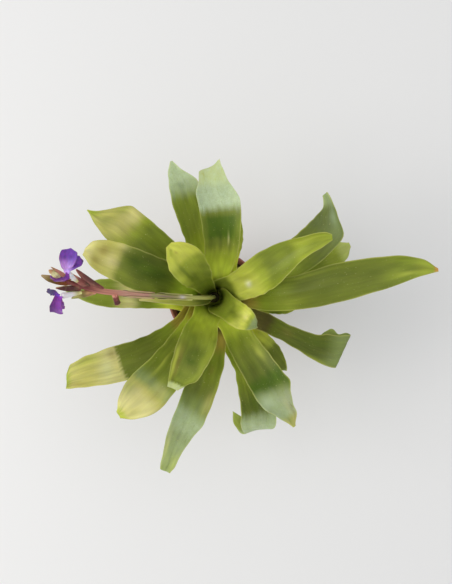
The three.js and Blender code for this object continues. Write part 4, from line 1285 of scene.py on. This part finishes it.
@dataclass
class Stem:
    """The short stem that the leaves and the stalk stand on, ringed with the scars of old leaves."""

    foot: float = 48.0
    foot_radius: float = 5.0
    soil: float = 77.0
    soil_radius: float = 11.0
    top: float = 108.0
    top_radius: float = 4.3
    socket: float = 7.0
    hole: float = 1.75 + GAP
    scar: float = 0.35
    scar_pitch: float = 1.4
    sides: int = 64

    def radius_at(self, z: float) -> float:
        """The stem's radius at height z above the mix."""
        share = min(1.0, max(0.0, (z - self.soil) / (self.top - self.soil)))
        return mix(self.soil_radius, self.top_radius, share)

    def build(self) -> None:
        """Turns the stem: a taper that each leaf scar notches a little, with the stalk's socket on top."""
        heights = np.arange(self.soil, self.top, self.scar_pitch / 4)
        notch = self.scar * (0.5 - 0.5 * np.cos(2 * math.pi * (heights - self.soil) / self.scar_pitch))
        taper = [(self.radius_at(z) - cut, z) for z, cut in zip(heights, notch)]
        outline = [(0.0, self.foot), (self.foot_radius, self.foot), *taper, (self.top_radius, self.top),
                   (self.hole, self.top), (self.hole, self.top - self.socket), (0.0, self.top - self.socket)]
        piece = write_mesh("stem_with_scars", lathe(outline, self.sides, Tone.HUSK), 30.0)
        dress(piece, BarkFinish("stem_fibre", (1.0, 1.0, 0.15), 0.8).material(), "stem", "stem")


@dataclass
class Pot:
    """The thin plastic pot: a taper with a rolled rim, a rounded heel and drain holes in its floor."""

    height: float = 86.0
    foot_radius: float = 31.0
    wall_radius: float = 42.5
    rim_radius: float = 46.0
    rim_depth: float = 9.0
    wall: float = 1.6
    floor: float = 2.4
    heel: float = 2.0
    wide_round: float = 1.0
    fine_round: float = 0.8
    drains: int = 6
    drain_radius: float = 3.5
    drain_circle: float = 21.0
    sides: int = 160

    def inside(self, z: float) -> float:
        """The radius of the pot's inside at height z, between its heel and its rim."""
        low = self.floor + self.heel
        share = (z - low) / (self.height - self.rim_depth - 2 - low)
        return mix(self.foot_radius, self.wall_radius, share) - self.wall

    def rounded(self, corner: tuple[float, float], radius: float, start: float, turn: float) -> list:
        """Five points round a corner's circle, from one angle in degrees and on by a turn."""
        angles = np.radians(start + turn * np.arange(5) / 4)
        return [(corner[0] + radius * math.cos(a), corner[1] + radius * math.sin(a)) for a in angles]

    def outline(self) -> list[tuple[float, float]]:
        """The pot's outline: along its underside, up the wall, over the rim and down the inside."""
        shoulder = self.height - self.rim_depth
        low = self.floor + self.heel
        wide, fine = self.wide_round, self.fine_round
        lip = self.rim_radius - self.wall - fine
        return [
            (0.0, 0.0),
            *self.rounded((self.foot_radius - wide, wide), wide, -90, 80),
            (self.wall_radius - 0.3, shoulder - 1),
            (self.wall_radius, shoulder),
            *self.rounded((self.rim_radius - fine, shoulder + fine), fine, -80, 80),
            *self.rounded((self.rim_radius - wide, self.height - wide), wide, 0, 90),
            *self.rounded((lip + fine, self.height - fine), fine, 90, 90),
            (lip, shoulder + 1),
            (self.inside(shoulder - 2), shoulder - 2),
            (self.inside(low), low),
            *self.rounded((self.inside(low) - self.heel, low), self.heel, -10, -80),
            (0.0, self.floor),
        ]

    def build(self) -> None:
        """Turns the pot and cuts its drain holes."""
        piece = write_mesh("thin_walled_pot", lathe(self.outline(), self.sides, Tone.SALMON), 40.0)
        for k in range(self.drains):
            angle = 2 * math.pi * (k + 0.5) / self.drains
            self.cut_drain(piece, self.drain_circle * math.cos(angle), self.drain_circle * math.sin(angle))
        dress(piece, PlasticFinish("pot_shell").material(), "pot_plastic", "pot")

    def cut_drain(self, piece: bpy.types.Object, x: float, y: float) -> None:
        """Cuts one round hole through the floor at x and y."""
        low, high = -5.0, 8.0
        outline = [(0.0, low), (self.drain_radius, low), (self.drain_radius, high), (0.0, high)]
        bar = lathe(outline, 32, Tone.SALMON)
        bar.points = bar.points + np.array([x, y, 0.0])
        tool = write_mesh("drain_tool", bar)
        cut = piece.modifiers.new("drain", "BOOLEAN")
        cut.operation = "DIFFERENCE"
        cut.object = tool
        bpy.context.view_layer.update()
        baked = bpy.data.meshes.new_from_object(piece.evaluated_get(bpy.context.evaluated_depsgraph_get()))
        piece.modifiers.clear()
        piece.data = baked
        bpy.data.objects.remove(tool)


@dataclass
class BarkMix:
    """The pot's filling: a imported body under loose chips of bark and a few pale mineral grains."""

    top: float = 77.0
    chips: int = 420
    grains: int = 130
    body_rings: int = 14
    body_sides: int = 72
    lump_size: float = 9.0
    lump_height: float = 1.08
    seed: int = 11
    chip_sizes: tuple[Point, Point] = ((2.2, 1.4, 0.6), (4.6, 2.6, 1.4))
    grain_sizes: tuple[Point, Point] = ((0.7, 0.7, 0.7), (1.6, 1.6, 1.6))
    clear: float = 13.0
    off_wall: float = 0.3
    crumb_rows: int = 4
    crumb_sides: int = 8

    def body(self, pot: Pot) -> Form:
        """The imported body: it follows the pot's inside, and its top is a flat disc with small lumps."""
        low = pot.floor + GAP
        heel = pot.floor + pot.heel + GAP
        edge = pot.inside(self.top - 2) - GAP
        rings = [(edge * (1 - k / self.body_rings), self.top - 1.0) for k in range(self.body_rings)]
        outline = [(0.0, low), (pot.inside(heel) - pot.heel - GAP, low), (pot.inside(heel) - GAP, heel),
                   (edge, self.top - 2), *rings, (0.0, self.top - 1.0)]
        form = lathe(outline, self.body_sides, Tone.SCAR)
        on_top = form.points[:, 2] > self.top - 1.5
        lumps = unevenness(self.seed, form.points[:, 0] / self.lump_size, form.points[:, 1] / self.lump_size)
        form.points[:, 2] += np.where(on_top, self.lump_height * lumps, 0.0)
        return form

    def crumb(self, draw: np.random.Generator, size: Array, tone: Array) -> Form:
        """One chip or grain: a ball of few points, squared off, stretched and knocked about.

        Args:
            draw: the source of chance.
            size: half of its length, width and height.
            tone: its colour.

        Returns:
            The chip at the origin, turned at random.
        """
        down = np.linspace(0.0, math.pi, self.crumb_rows + 2)[1:-1]
        about = 2 * math.pi * np.arange(self.crumb_sides) / self.crumb_sides
        x = np.outer(np.sin(down), np.cos(about))
        y = np.outer(np.sin(down), np.sin(about))
        z = np.outer(np.cos(down), np.ones(self.crumb_sides))
        ball = np.vstack([np.stack([x, y, z], -1).reshape(-1, 3), [[0, 0, 1], [0, 0, -1]]])
        ball = np.sign(ball) * np.abs(ball) ** 0.6 * size * (1 + 0.16 * draw.normal(size=ball.shape))
        turn, tip, roll = draw.uniform(0, 2 * math.pi), draw.normal(0, 0.25), draw.normal(0, 0.25)
        points = ball @ (rotation(2, turn) @ rotation(1, tip) @ rotation(0, roll)).T
        faces = [group[:, ::-1] for group in capped_faces(self.crumb_rows, self.crumb_sides)]
        shade = np.array([*(1 + 0.2 * draw.normal(size=3)), 1.0])
        colour = np.tile([*tone, 0.0], (len(points), 1)) * shade
        return Form(points, faces, np.clip(colour, 0, 1), points[:, :2])

    def scatter(self, pot: Pot) -> Form:
        """Strews chips and grains over the body's top, by a seeded draw, clear of the stem and the wall."""
        draw = np.random.default_rng(self.seed)
        barks = (Tone.HUSK, Tone.SCAR, Tone.RUST, Tone.HUSK, Tone.MAUVE)
        edge = pot.inside(self.top - 2)
        forms = []
        for k in range(self.chips + self.grains):
            grain = k >= self.chips
            size = draw.uniform(*(self.grain_sizes if grain else self.chip_sizes))
            radius = math.sqrt(draw.uniform(self.clear ** 2, (edge - max(size) - self.off_wall) ** 2))
            angle = draw.uniform(0, 2 * math.pi)
            tone = (Tone.CREAM if k % 3 else Tone.BLUSH) if grain else barks[k % len(barks)]
            form = self.crumb(draw, size, tone.rgb)
            height = self.top - 0.8 + draw.uniform(0.0, 1.6) + (1.2 if grain else 0.0)
            form.points = form.points + np.array([radius * math.cos(angle), radius * math.sin(angle), height])
            forms.append(form)
        return Form.joined(forms)

    def build(self, pot: Pot) -> None:
        """Makes the body and its loose top."""
        bark = BarkFinish("bark").material()
        dress(write_mesh("packed_bark", self.body(pot), 30.0), bark, "bark_mix", "bark_mix")
        dress(write_mesh("loose_bark", self.scatter(pot), 40.0), bark, "bark_mix")


# The flower stalk and the spike

FRILL_COUNT = 3.2
KEEL_WIDTH = 0.16
RIB_COUNT = 5
SQUARE_TO = (0.05, 1.0, 0.1)


def ribbon(seed: int, path: SmoothPath, half: Callable[[Array], Array], up: Point,
           cup: tuple[float, float], coat: Coat, rows: int = 44, columns: int = 20, thick: float = 0.6,
           keel: float = 0.0, frill: float = 0.0, outward: bool = False) -> Skin:
    """A strip along a smooth path, such as a bract or a petal.

    Across the strip each row is an arc that is hollow towards "up", with a radius that eases from the
    first cup to the second. A keel pushes the midline out, and a frill waves the margins.

    Args:
        seed: fixes the unevenness of its colours and shifts its frill.
        path: what its middle follows.
        half: half of its width at a share of its length.
        up: the side that it is hollow towards.
        cup: the radius across at its foot and at its end.
        coat: its colours.
        rows: steps along.
        columns: steps across.
        thick: its thickness in the middle.
        keel: how far the midline stands out.
        frill: how high the margins wave.
        outward: whether the coat's upper colours belong on the outside of the hollow.

    Returns:
        The closed sheet.
    """
    t = np.linspace(0.0, 1.0, rows + 1)
    v = np.linspace(-1.0, 1.0, columns + 1)
    along = path.heading(t)
    side = unit(np.cross(np.array(up, float), along))
    centre = np.cross(along, side)
    radius = mix(cup[0], cup[1], t)[:, None]
    width = np.maximum(half(t), 0.12)[:, None]
    angle = v * width / radius
    lift = radius * (1 - np.cos(angle)) - keel * bump(v, 0.0, KEEL_WIDTH) * np.sin(math.pi * t)[:, None]
    lift = lift + frill * np.sin(2 * math.pi * FRILL_COUNT * t + seed)[:, None] * v ** 3
    middle = (path.at(t)[:, None] + side[:, None] * (radius * np.sin(angle))[..., None]
              + centre[:, None] * lift[..., None])
    from_margin = (1 - np.abs(v)) * width
    full = thick * mix(0.35, 1.0, smooth(from_margin / 0.9)) * mix(0.5, 1.0, smooth((1 - t) / 0.1))[:, None]
    u = np.broadcast_to(t[:, None], full.shape)
    upper, lower = coat.paint(u, np.broadcast_to(v, full.shape), 1 - smooth(from_margin / 0.8), seed)
    if outward:
        upper, lower = lower, upper
    return Skin(middle, full, u * path.length, v * width, upper, lower)


def lance(half: float, base: float, most: float, end: float = 0.2) -> Callable[[Array], Array]:
    """A lance shape: wide from its clasping base, then drawn to a point.

    Args:
        half: half of its greatest width.
        base: its width at the base, as a share of the greatest.
        most: where it is widest, as a share of the length.
        end: half of its width at the tip.

    Returns:
        Half of the width as a function of the share of the length: a soft step up to the widest place,
        then most of a quarter cosine wave, a little rounded.
    """
    quarter, roundness = 1.5, 0.75

    def outline(t: Array) -> Array:
        """Half of the width at t of the way."""
        rising = mix(half * base, half, smooth(t / most))
        past = np.clip((t - most) / (1 - most), 0.0, 1.0)
        falling = np.maximum(end, half * np.cos(quarter * past) ** roundness)
        return np.where(t < most, rising, falling)
    return outline


def petal_outline(claw: float, half: float) -> Callable[[Array], Array]:
    """A petal's outline: a narrow claw that spreads into a broad blade with a rounded end.

    Args:
        claw: half of the width where it is narrow.
        half: half of the greatest width.

    Returns:
        Half of the width as a function of the share of the length: half a sine wave over the blade,
        times a square root that closes the end.
    """
    blade_from, late, fullness, closing = 0.18, 1.15, 0.8, 0.15

    def outline(t: Array) -> Array:
        """Half of the width at t of the way."""
        along = np.clip((t - blade_from) / (1.0 - blade_from), 0.0, 1.0)
        blade = np.sin(math.pi * along ** late) ** fullness
        return mix(claw, half, blade) * np.sqrt(np.clip((1.0 - t) / closing, 0.02, 1.0))
    return outline


def tube(path: SmoothPath, radius: Callable[[Array], Array], coat: Coat, seed: int, rows: int = 60,
         sides: int = 20, ribs: float = 0.0) -> Form:
    """A closed round rod along a path.

    Its cross-section is a circle, or one with low ribs round it. Its frame is kept from twisting by
    standing it square to one fixed direction that the path never takes.

    Args:
        path: its axis.
        radius: its radius at a share of its length.
        coat: its colours.
        seed: fixes the unevenness of its colours.
        rows: steps along.
        sides: steps round.
        ribs: how far the ribs stand out, as a share of the radius.

    Returns:
        The closed form.
    """
    t = np.linspace(0.0, 1.0, rows + 1)
    angle = 2 * math.pi * np.arange(sides) / sides
    along = path.heading(t)
    first = unit(np.cross(np.array(SQUARE_TO), along))
    second = np.cross(along, first)
    size = radius(t)[:, None] * (1 + ribs * np.cos(RIB_COUNT * angle))
    ring = first[:, None] * np.cos(angle)[:, None] + second[:, None] * np.sin(angle)[:, None]
    points = path.at(t)[:, None] + ring * size[..., None]
    u = np.broadcast_to(t[:, None], size.shape)
    upper, _ = coat.paint(u, np.broadcast_to(np.sin(angle), size.shape), np.zeros(size.shape), seed)
    hubs = path.at(np.array([0.0, 1.0]))
    uv = np.stack([u * path.length, np.broadcast_to(angle, size.shape)], -1).reshape(-1, 2)
    tone = upper.reshape(-1, 4)
    return Form(np.vstack([points.reshape(-1, 3), hubs]), capped_faces(rows + 1, sides),
                np.vstack([tone, tone[:1], tone[-1:]]), np.vstack([uv, [[0.0, 0.0], [path.length, 0.0]]]))


def swelling(radii: tuple[float, ...], close: float = 0.06) -> Callable[[Array], Array]:
    """The radius of a rod that swells and narrows by turns, with both its ends rounded off.

    Args:
        radii: the radius at even steps along.
        close: the share of the length that each rounded end takes.

    Returns:
        The radius as a function of the share of the length: a smooth line through the radii, times a
        quarter circle at each end.
    """
    def radius(t: Array) -> Array:
        """The radius at t of the way."""
        x = t * (len(radii) - 1)
        low = np.clip(np.floor(x).astype(int), 0, len(radii) - 2)
        size = mix(np.array(radii)[low], np.array(radii)[low + 1], smooth(x - low))
        start = np.sqrt(1 - (1 - np.clip(t / close, 0.0, 1.0)) ** 2)
        end = np.sqrt(1 - (1 - np.clip((1 - t) / close, 0.0, 1.0)) ** 2)
        return np.maximum(size * start * end, 0.02)
    return radius


@dataclass(frozen=True)
class Scale:
    """One floral bract: a boat-shaped scale that clasps the axis.

    Attributes:
        path: what its keel follows.
        half: half of its width.
        up: the side that it is hollow towards.
        cup: the radius across at its foot and at its end.
        slot: a name for its finish's slot, which is only logged.
        coat: its colours outside.
    """

    path: tuple[Point, ...]
    half: float
    up: Point
    cup: tuple[float, float]
    slot: str
    coat: Coat


@dataclass(frozen=True)
class Petal:
    """One petal of a flower.

    Attributes:
        path: what its middle follows from the throat.
        claw: half of its width where it is narrow.
        half: half of its greatest width.
        up: the side that it is hollow towards.
        coat: its colours.
    """

    path: tuple[Point, ...]
    claw: float
    half: float
    up: Point
    coat: Coat


STALK_PATH = (
    (0, 0, 101.4), (0, 0, 135), (-4.6, -0.3, 160), (-27.7, 0.5, 182), (-53.2, 2.3, 206),
    (-72.2, 4, 223.2), (-86, 5.6, 236), (-94, 7.9, 244), (-102, 10.8, 252), (-108, 13.2, 257),
)
LEAFY_BRACT_PATH = (
    (-3, -0.4, 137), (-7.5, -2, 154), (-20, -3, 168), (-38, -1.8, 180), (-55, -1.4, 186), (-62, -2, 187),
)
STALK_COAT = Coat(
    Tone.PALE_STALK,
    (Zone(0.42, Tone.CREAM, 0.04), Zone(0.47, Tone.PALE_STALK, 0.03), Zone(0.61, Tone.BLUSH, 0.03),
     Zone(0.76, Tone.SALMON, 0.1), Zone(0.88, Tone.WINE, 0.1)),
    (Patch(0.445, 0.0, 0.014, 2.0, Tone.SNOW, 0.8), Patch(0.54, 0.0, 0.085, 0.6, Tone.MAUVE, 0.9)),
    rim_share=0.0, mottle=0.2)
LEAFY_COAT = Coat(Tone.OLIVE, (Zone(0.4, Tone.LIME, 0.3), Zone(0.85, Tone.STRAW, 0.2)), rim=Tone.CREAM)
ROLLED_COAT = Coat(Tone.PALE_STALK, (Zone(0.5, Tone.STRAW, 0.3), Zone(0.9, Tone.TAN, 0.1)), rim=Tone.CREAM,
                   rim_share=0.9, under=Tone.HUSK)
PINK_COAT = Coat(Tone.WINE, (Zone(0.06, Tone.BLUSH, 0.08), Zone(0.8, Tone.CREAM, 0.2)), rim=Tone.CREAM,
                 rim_share=0.9, under=Tone.HUSK, foot=0.0)
STUB_COAT = Coat(Tone.SALMON, (Zone(0.25, Tone.WINE, 0.2), Zone(0.55, Tone.MAROON, 0.2),
                               Zone(0.9, Tone.SALMON, 0.04)), rim_share=0.0, mottle=0.4, foot=0.0)
TUBE_COAT = Coat(Tone.CREAM, (Zone(0.4, Tone.SNOW, 0.4),), rim_share=0.0, mottle=0.05)
BUD_COAT = Coat(Tone.AMBER, (Zone(0.3, Tone.BUTTER, 0.3), Zone(0.85, Tone.TAN, 0.1)),
                (Patch(0.6, 0.6, 0.2, 0.3, Tone.RUST, 0.6),), rim_share=0.0, mottle=0.3)

SHADED = dict(mottle=0.25, foot=0.0)
FACE_DOWN = (-0.1, -0.72, -0.62)
FACE_BACK = (0, 0.75, -0.6)
SCALES = (
    Scale(((-83.6, 7.9, 234.4), (-92, 14.5, 243), (-101.7, 21.8, 250)),
          5.4, FACE_DOWN, (3, 3.4), "bract_maroon",
          Coat(Tone.WINE, (Zone(0.2, Tone.MAROON, 0.3), Zone(0.75, Tone.WINE, 0.3)),
               (Patch(0.5, -0.85, 0.5, 0.45, Tone.SALMON, 0.5),),
               rim=Tone.SALMON, rim_share=0.8, under=Tone.SALMON, **SHADED)),
    Scale(((-92.6, 10.4, 243.6), (-98.6, 15, 252), (-105, 19.4, 259.5)),
          5.4, FACE_DOWN, (3, 3.6), "bract_maroon",
          Coat(Tone.MAROON, (Zone(0.3, Tone.WINE, 0.3), Zone(0.65, Tone.SALMON, 0.4)),
               (Patch(0.4, -0.85, 0.4, 0.45, Tone.SALMON, 0.4),),
               rim=Tone.MAROON, rim_share=0.7, under=Tone.SALMON, **SHADED)),
    Scale(((-98.6, 6.2, 247.6), (-107, 6, 253.2), (-115, 7.9, 258)),
          4.4, FACE_BACK, (2.6, 3), "bract_maroon",
          Coat(Tone.WINE, (Zone(0.15, Tone.MAROON, 0.3), Zone(0.9, Tone.WINE, 0.1)),
               rim=Tone.CREAM, rim_share=0.9, under=Tone.TAN, **SHADED)),
    Scale(((-88.8, 3.9, 238.6), (-97, 1.4, 243.6), (-105.4, 0.2, 248.4)),
          5.2, FACE_BACK, (2.7, 3.2), "bract_orange",
          Coat(Tone.SALMON,
               (Zone(0.1, Tone.TAN, 0.2), Zone(0.45, Tone.RUST, 0.3), Zone(0.7, Tone.STRAW, 0.3)),
               rim=Tone.WINE, rim_share=0.7, under=Tone.OLIVE, mottle=0.3, foot=0.2)),
    Scale(((-105.9, 11.6, 251.8), (-112, 12.2, 257), (-118, 14, 262.6), (-123.4, 17, 267)),
          4, (0.7, 0.2, 0.7), (2.7, 3.4), "bract_yellow",
          Coat(Tone.AMBER, (Zone(0.45, Tone.STRAW, 0.4), Zone(0.85, Tone.BUTTER, 0.2)),
               rim=Tone.WINE, rim_share=0.5, under=Tone.WINE)),
    Scale(((-104.6, 14.7, 254.8), (-110, 19.4, 262), (-116, 23, 268)),
          4, (0, -0.75, -0.5), (2.7, 3), "bract_orange",
          Coat(Tone.WINE, (Zone(0.3, Tone.SALMON, 0.4), Zone(0.8, Tone.TAN, 0.2)),
               rim=Tone.TAN, rim_share=0.7, under=Tone.TAN)),
)

THROAT_1 = (-104.3, 19.1, 268.2)
THROAT_2 = (-112.8, 1.7, 256.5)
VIOLET_COAT = Coat(Tone.LILAC, (Zone(0.45, Tone.VIOLET, 0.45),), rim=Tone.INK, rim_share=0.5,
                   under=Tone.LILAC, mottle=0.15)
PURPLE_COAT = Coat(Tone.PURPLE, (), (Patch(0.5, -0.9, 0.5, 0.7, Tone.INK, 0.6),), rim=Tone.INK,
                   rim_share=0.5, under=Tone.VIOLET, mottle=0.15)
LOBE_COAT = Coat(Tone.LILAC, (Zone(0.3, Tone.VIOLET, 0.4), Zone(0.92, Tone.INK, 0.1)), rim=Tone.INK,
                 rim_share=0.5, under=Tone.LILAC, mottle=0.15)
INK_COAT = Coat(Tone.VIOLET, (Zone(0.3, Tone.INK, 0.3),), rim=Tone.INK, rim_share=0.5, under=Tone.VIOLET)
PETALS_1 = (
    Petal((THROAT_1, (-103.6, 23.6, 272), (-102, 29.6, 273.5), (-101.4, 36.6, 270.6)), 2.4, 7, (0.1, 0, 1),
          VIOLET_COAT),
    Petal((THROAT_1, (-105, 14.6, 267), (-110.4, 13.4, 266), (-117.5, 16.5, 264.5)), 1.8, 4.2,
          (0.3, 0.8, 0.5), PURPLE_COAT),
    Petal((THROAT_1, (-101.6, 22.6, 271), (-97.2, 26.4, 272), (-92.3, 27.6, 268.6)), 1.8, 4.6, (0, 0, 1),
          LOBE_COAT),
)
PETALS_2 = (
    Petal((THROAT_2, (-116, 4.2, 258.6), (-122.6, 5.5, 254.5)), 1.6, 2.8, (0.1, -0.45, 1), INK_COAT),
    Petal((THROAT_2, (-113.8, -2.4, 258), (-115, -7, 255.5), (-115.8, -11.6, 249)), 3.4, 5.4,
          (0, 0, 1), PURPLE_COAT),
    Petal((THROAT_2, (-112.6, -1.4, 253.6), (-112.8, -4.6, 249.5), (-113.4, -8.4, 244)), 1.6, 2.4,
          (0, 0, 1), PURPLE_COAT),
)


@dataclass
class Spike:
    """The flower stalk with its bracts, and the spike of floral bracts and flowers at its end."""

    stalk_radius: float = 1.75
    stalk_shares: tuple[float, ...] = (1, 1, 1, 1, 1, 1, 1.28, 1.3, 0.9)
    leaning_up: Point = (0.7, 0, 0.7)
    leafy_half: float = 5.4
    bract_half: float = 6.2
    rolled: tuple[float, float] = (0.391, 0.575)
    pink: tuple[float, float] = (0.59, 0.748)
    below: float = 2.5
    petal_thick: float = 0.4
    petal_cup: tuple[float, float] = (3, 12)
    petal_frill: float = 0.5

    def under_stalk(self, share: tuple[float, float]) -> SmoothPath:
        """A path that keeps one distance below the stalk's axis between two shares of its length."""
        stalk = SmoothPath(STALK_PATH)
        t = mix(share[0], share[1], np.array([0.0, 0.25, 0.5, 0.75, 1.0]))
        along = stalk.heading(t)
        down = np.array([-1.0, 0.0, -1.0])
        under = unit(down - along * (along @ down)[:, None])
        return SmoothPath(stalk.at(t) + self.below * under)

    def build_stalk(self, finish: bpy.types.Material) -> None:
        """Makes the stalk, its three bracts and the stump of a side spike."""
        radii = tuple(self.stalk_radius * share for share in self.stalk_shares)
        axis = tube(SmoothPath(STALK_PATH), swelling(radii, 0.01), STALK_COAT, 71, rows=260, ribs=0.04)
        dress(write_mesh("slender_stalk", axis), finish, "stalk_pink", "flower_stalk")
        leafy = ribbon(72, SmoothPath(LEAFY_BRACT_PATH), lance(self.leafy_half, 0.6, 0.3), self.leaning_up,
                       (3.2, 9), LEAFY_COAT, rows=80, keel=0.2, frill=0.3)
        dress(write_mesh("leafy_bract", leafy.form()), finish, "stalk_green", "stalk_bract_leafy")
        for name, share, most, coat, slot in (("rolled", self.rolled, 0.7, ROLLED_COAT, "stalk_green"),
                                              ("pink", self.pink, 0.75, PINK_COAT, "stalk_pink")):
            bract = ribbon(73, self.under_stalk(share), lance(self.bract_half, 0.95, most, 0.4),
                           self.leaning_up, (2.5, 2.7), coat, rows=60, columns=32, outward=True)
            dress(write_mesh(name + "_bract", bract.form()), finish, slot, "stalk_bract_" + name)
        stump = tube(SmoothPath([(-76.4, 3.6, 227.4), (-75.6, -0.6, 224.6), (-74.6, -5, 221.5)]),
                     swelling((2.4, 2.3, 2.3, 2.6), 0.1), STUB_COAT, 75, rows=24, sides=32, ribs=0.05)
        dress(write_mesh("side_stump", stump), finish, "stub_brown", "side_spike_stub")

    def build_scales(self, finish: bpy.types.Material) -> None:
        """Makes the floral bracts and the bud."""
        for k, scale in enumerate(SCALES):
            skin = ribbon(80 + k, SmoothPath(scale.path), lance(scale.half, 0.5, 0.4), scale.up, scale.cup,
                          scale.coat, columns=32, keel=0.35, frill=0.15, outward=True)
            dress(write_mesh(f"flower_scale_{k + 1}", skin.form()), finish, scale.slot,
                  f"floral_bract_{k + 1}")
        bud = tube(SmoothPath([(-108.4, 13.4, 257.4), (-113, 17.3, 263.6), (-117.3, 20.8, 269.5)]),
                   swelling((0.8, 1.4, 2.5, 2.8, 2, 0.7)), BUD_COAT, 90, rows=40, sides=32, ribs=0.06)
        dress(write_mesh("yellow_bud", bud), finish, "bract_yellow", "flower_bud")

    def build_flowers(self, petal: bpy.types.Material) -> None:
        """Makes each flower's white tube and its petals, which grow together at the throat."""
        tubes = {
            1: ([(-99.5, 12, 252), (-101.8, 15.1, 259.2), (-103.8, 18.4, 266.5)], (1.2, 1.7, 2.3)),
            2: ([(-98, 4.4, 246.2), (-104.7, 3.1, 250.9), (-111.3, 2, 255.4)], (1.2, 1.8, 2.3)),
        }
        for k, (path, radii) in tubes.items():
            white = tube(SmoothPath(path), swelling(radii), TUBE_COAT, 93 + k, rows=40, sides=32, ribs=0.03)
            dress(write_mesh(f"white_tube_{k}", white), petal, "petal_white", f"corolla_tube_{k}")
        for k, petals in enumerate((PETALS_1, PETALS_2), 1):
            forms = []
            for n, one in enumerate(petals, 100 + 10 * k):
                outline = petal_outline(one.claw, one.half)
                skin = ribbon(n, SmoothPath(one.path), outline, one.up, self.petal_cup, one.coat, rows=60,
                              columns=40, thick=self.petal_thick, frill=self.petal_frill)
                forms.append(skin.form())
            dress(write_mesh(f"violet_petals_{k}", Form.joined(forms)), petal, "petal_violet", f"petals_{k}")

    def build(self) -> None:
        """Makes the whole spike."""
        stalk = StalkFinish("stalk_skin").material()
        petal = PetalFinish("petal_skin").material()
        self.build_stalk(stalk)
        self.build_scales(stalk)
        self.build_flowers(petal)


# The room

@dataclass
class Studio:
    """A plain pale floor, soft daylight from the left, and the camera straight above the plant."""

    camera_place: Point = (11.5, 4.8, 770.0)
    focal_pixels: float = 689.0
    image_height: int = 584
    sensor: float = 36.0
    floor_half: float = 3000.0
    sky: float = 0.66
    sky_colour: Point = (0.95, 0.97, 1.0)
    aim: Point = (0.0, 0.0, 0.15)

    def build(self) -> None:
        """Sets up the camera, the floor and the light."""
        self.add_camera()
        self.add_floor()
        self.add_light("window", place=(-1.5, -0.1, 1.3), size=1.4, power=20.0, colour=(1.0, 0.985, 0.96))
        self.add_light("ceiling", place=(0.4, 0.3, 2.2), size=2.2, power=8.0, colour=(0.98, 0.99, 1.0))
        world = bpy.data.worlds.new("daylight")
        world.use_nodes = True
        sky = world.node_tree.nodes["Background"].inputs
        sky["Color"].default_value = (*self.sky_colour, 1.0)
        sky["Strength"].default_value = self.sky
        bpy.context.scene.world = world
        bpy.context.scene.view_settings.view_transform = "Standard"

    def add_camera(self) -> None:
        """Hangs the camera straight above, with its focal length worked out from pixels."""
        data = bpy.data.cameras.new("camera")
        data.sensor_width = self.sensor
        data.lens = self.focal_pixels / self.image_height * self.sensor
        data.clip_start, data.clip_end = 0.01, 50.0
        camera = bpy.data.objects.new("camera", data)
        camera.location = [x * MM for x in self.camera_place]
        bpy.context.scene.collection.objects.link(camera)
        bpy.context.scene.camera = camera

    def add_floor(self) -> None:
        """Lays the floor at the height of the pot's underside."""
        h = self.floor_half
        corners = np.array([[-h, -h, 0.0], [h, -h, 0.0], [h, h, 0.0], [-h, h, 0.0]])
        form = Form(corners, [np.array([[0, 1, 2, 3]])], np.ones((4, 4)), corners[:, :2])
        floor = write_mesh("floor", form)
        floor.data.materials.append(FloorFinish().material())

    def add_light(self, name: str, place: Point, size: float, power: float, colour: Point) -> None:
        """Hangs a square soft light, in metres, that faces the plant."""
        data = bpy.data.lights.new(name, "AREA")
        data.energy, data.size, data.color = power, size, colour
        light = bpy.data.objects.new(name, data)
        light.location = place
        ray = Vector(self.aim) - Vector(place)
        light.rotation_euler = ray.to_track_quat("-Z", "Y").to_euler()
        bpy.context.scene.collection.objects.link(light)


def main() -> None:
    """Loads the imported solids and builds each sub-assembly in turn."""
    logging.basicConfig(level=logging.INFO, format="%(message)s")
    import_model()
    stem, pot = Stem(), Pot()
    Rosette().build(stem)
    stem.build()
    pot.build()
    BarkMix().build(pot)
    Spike().build()
    Studio().build()


if __name__ == "__main__":
    main()
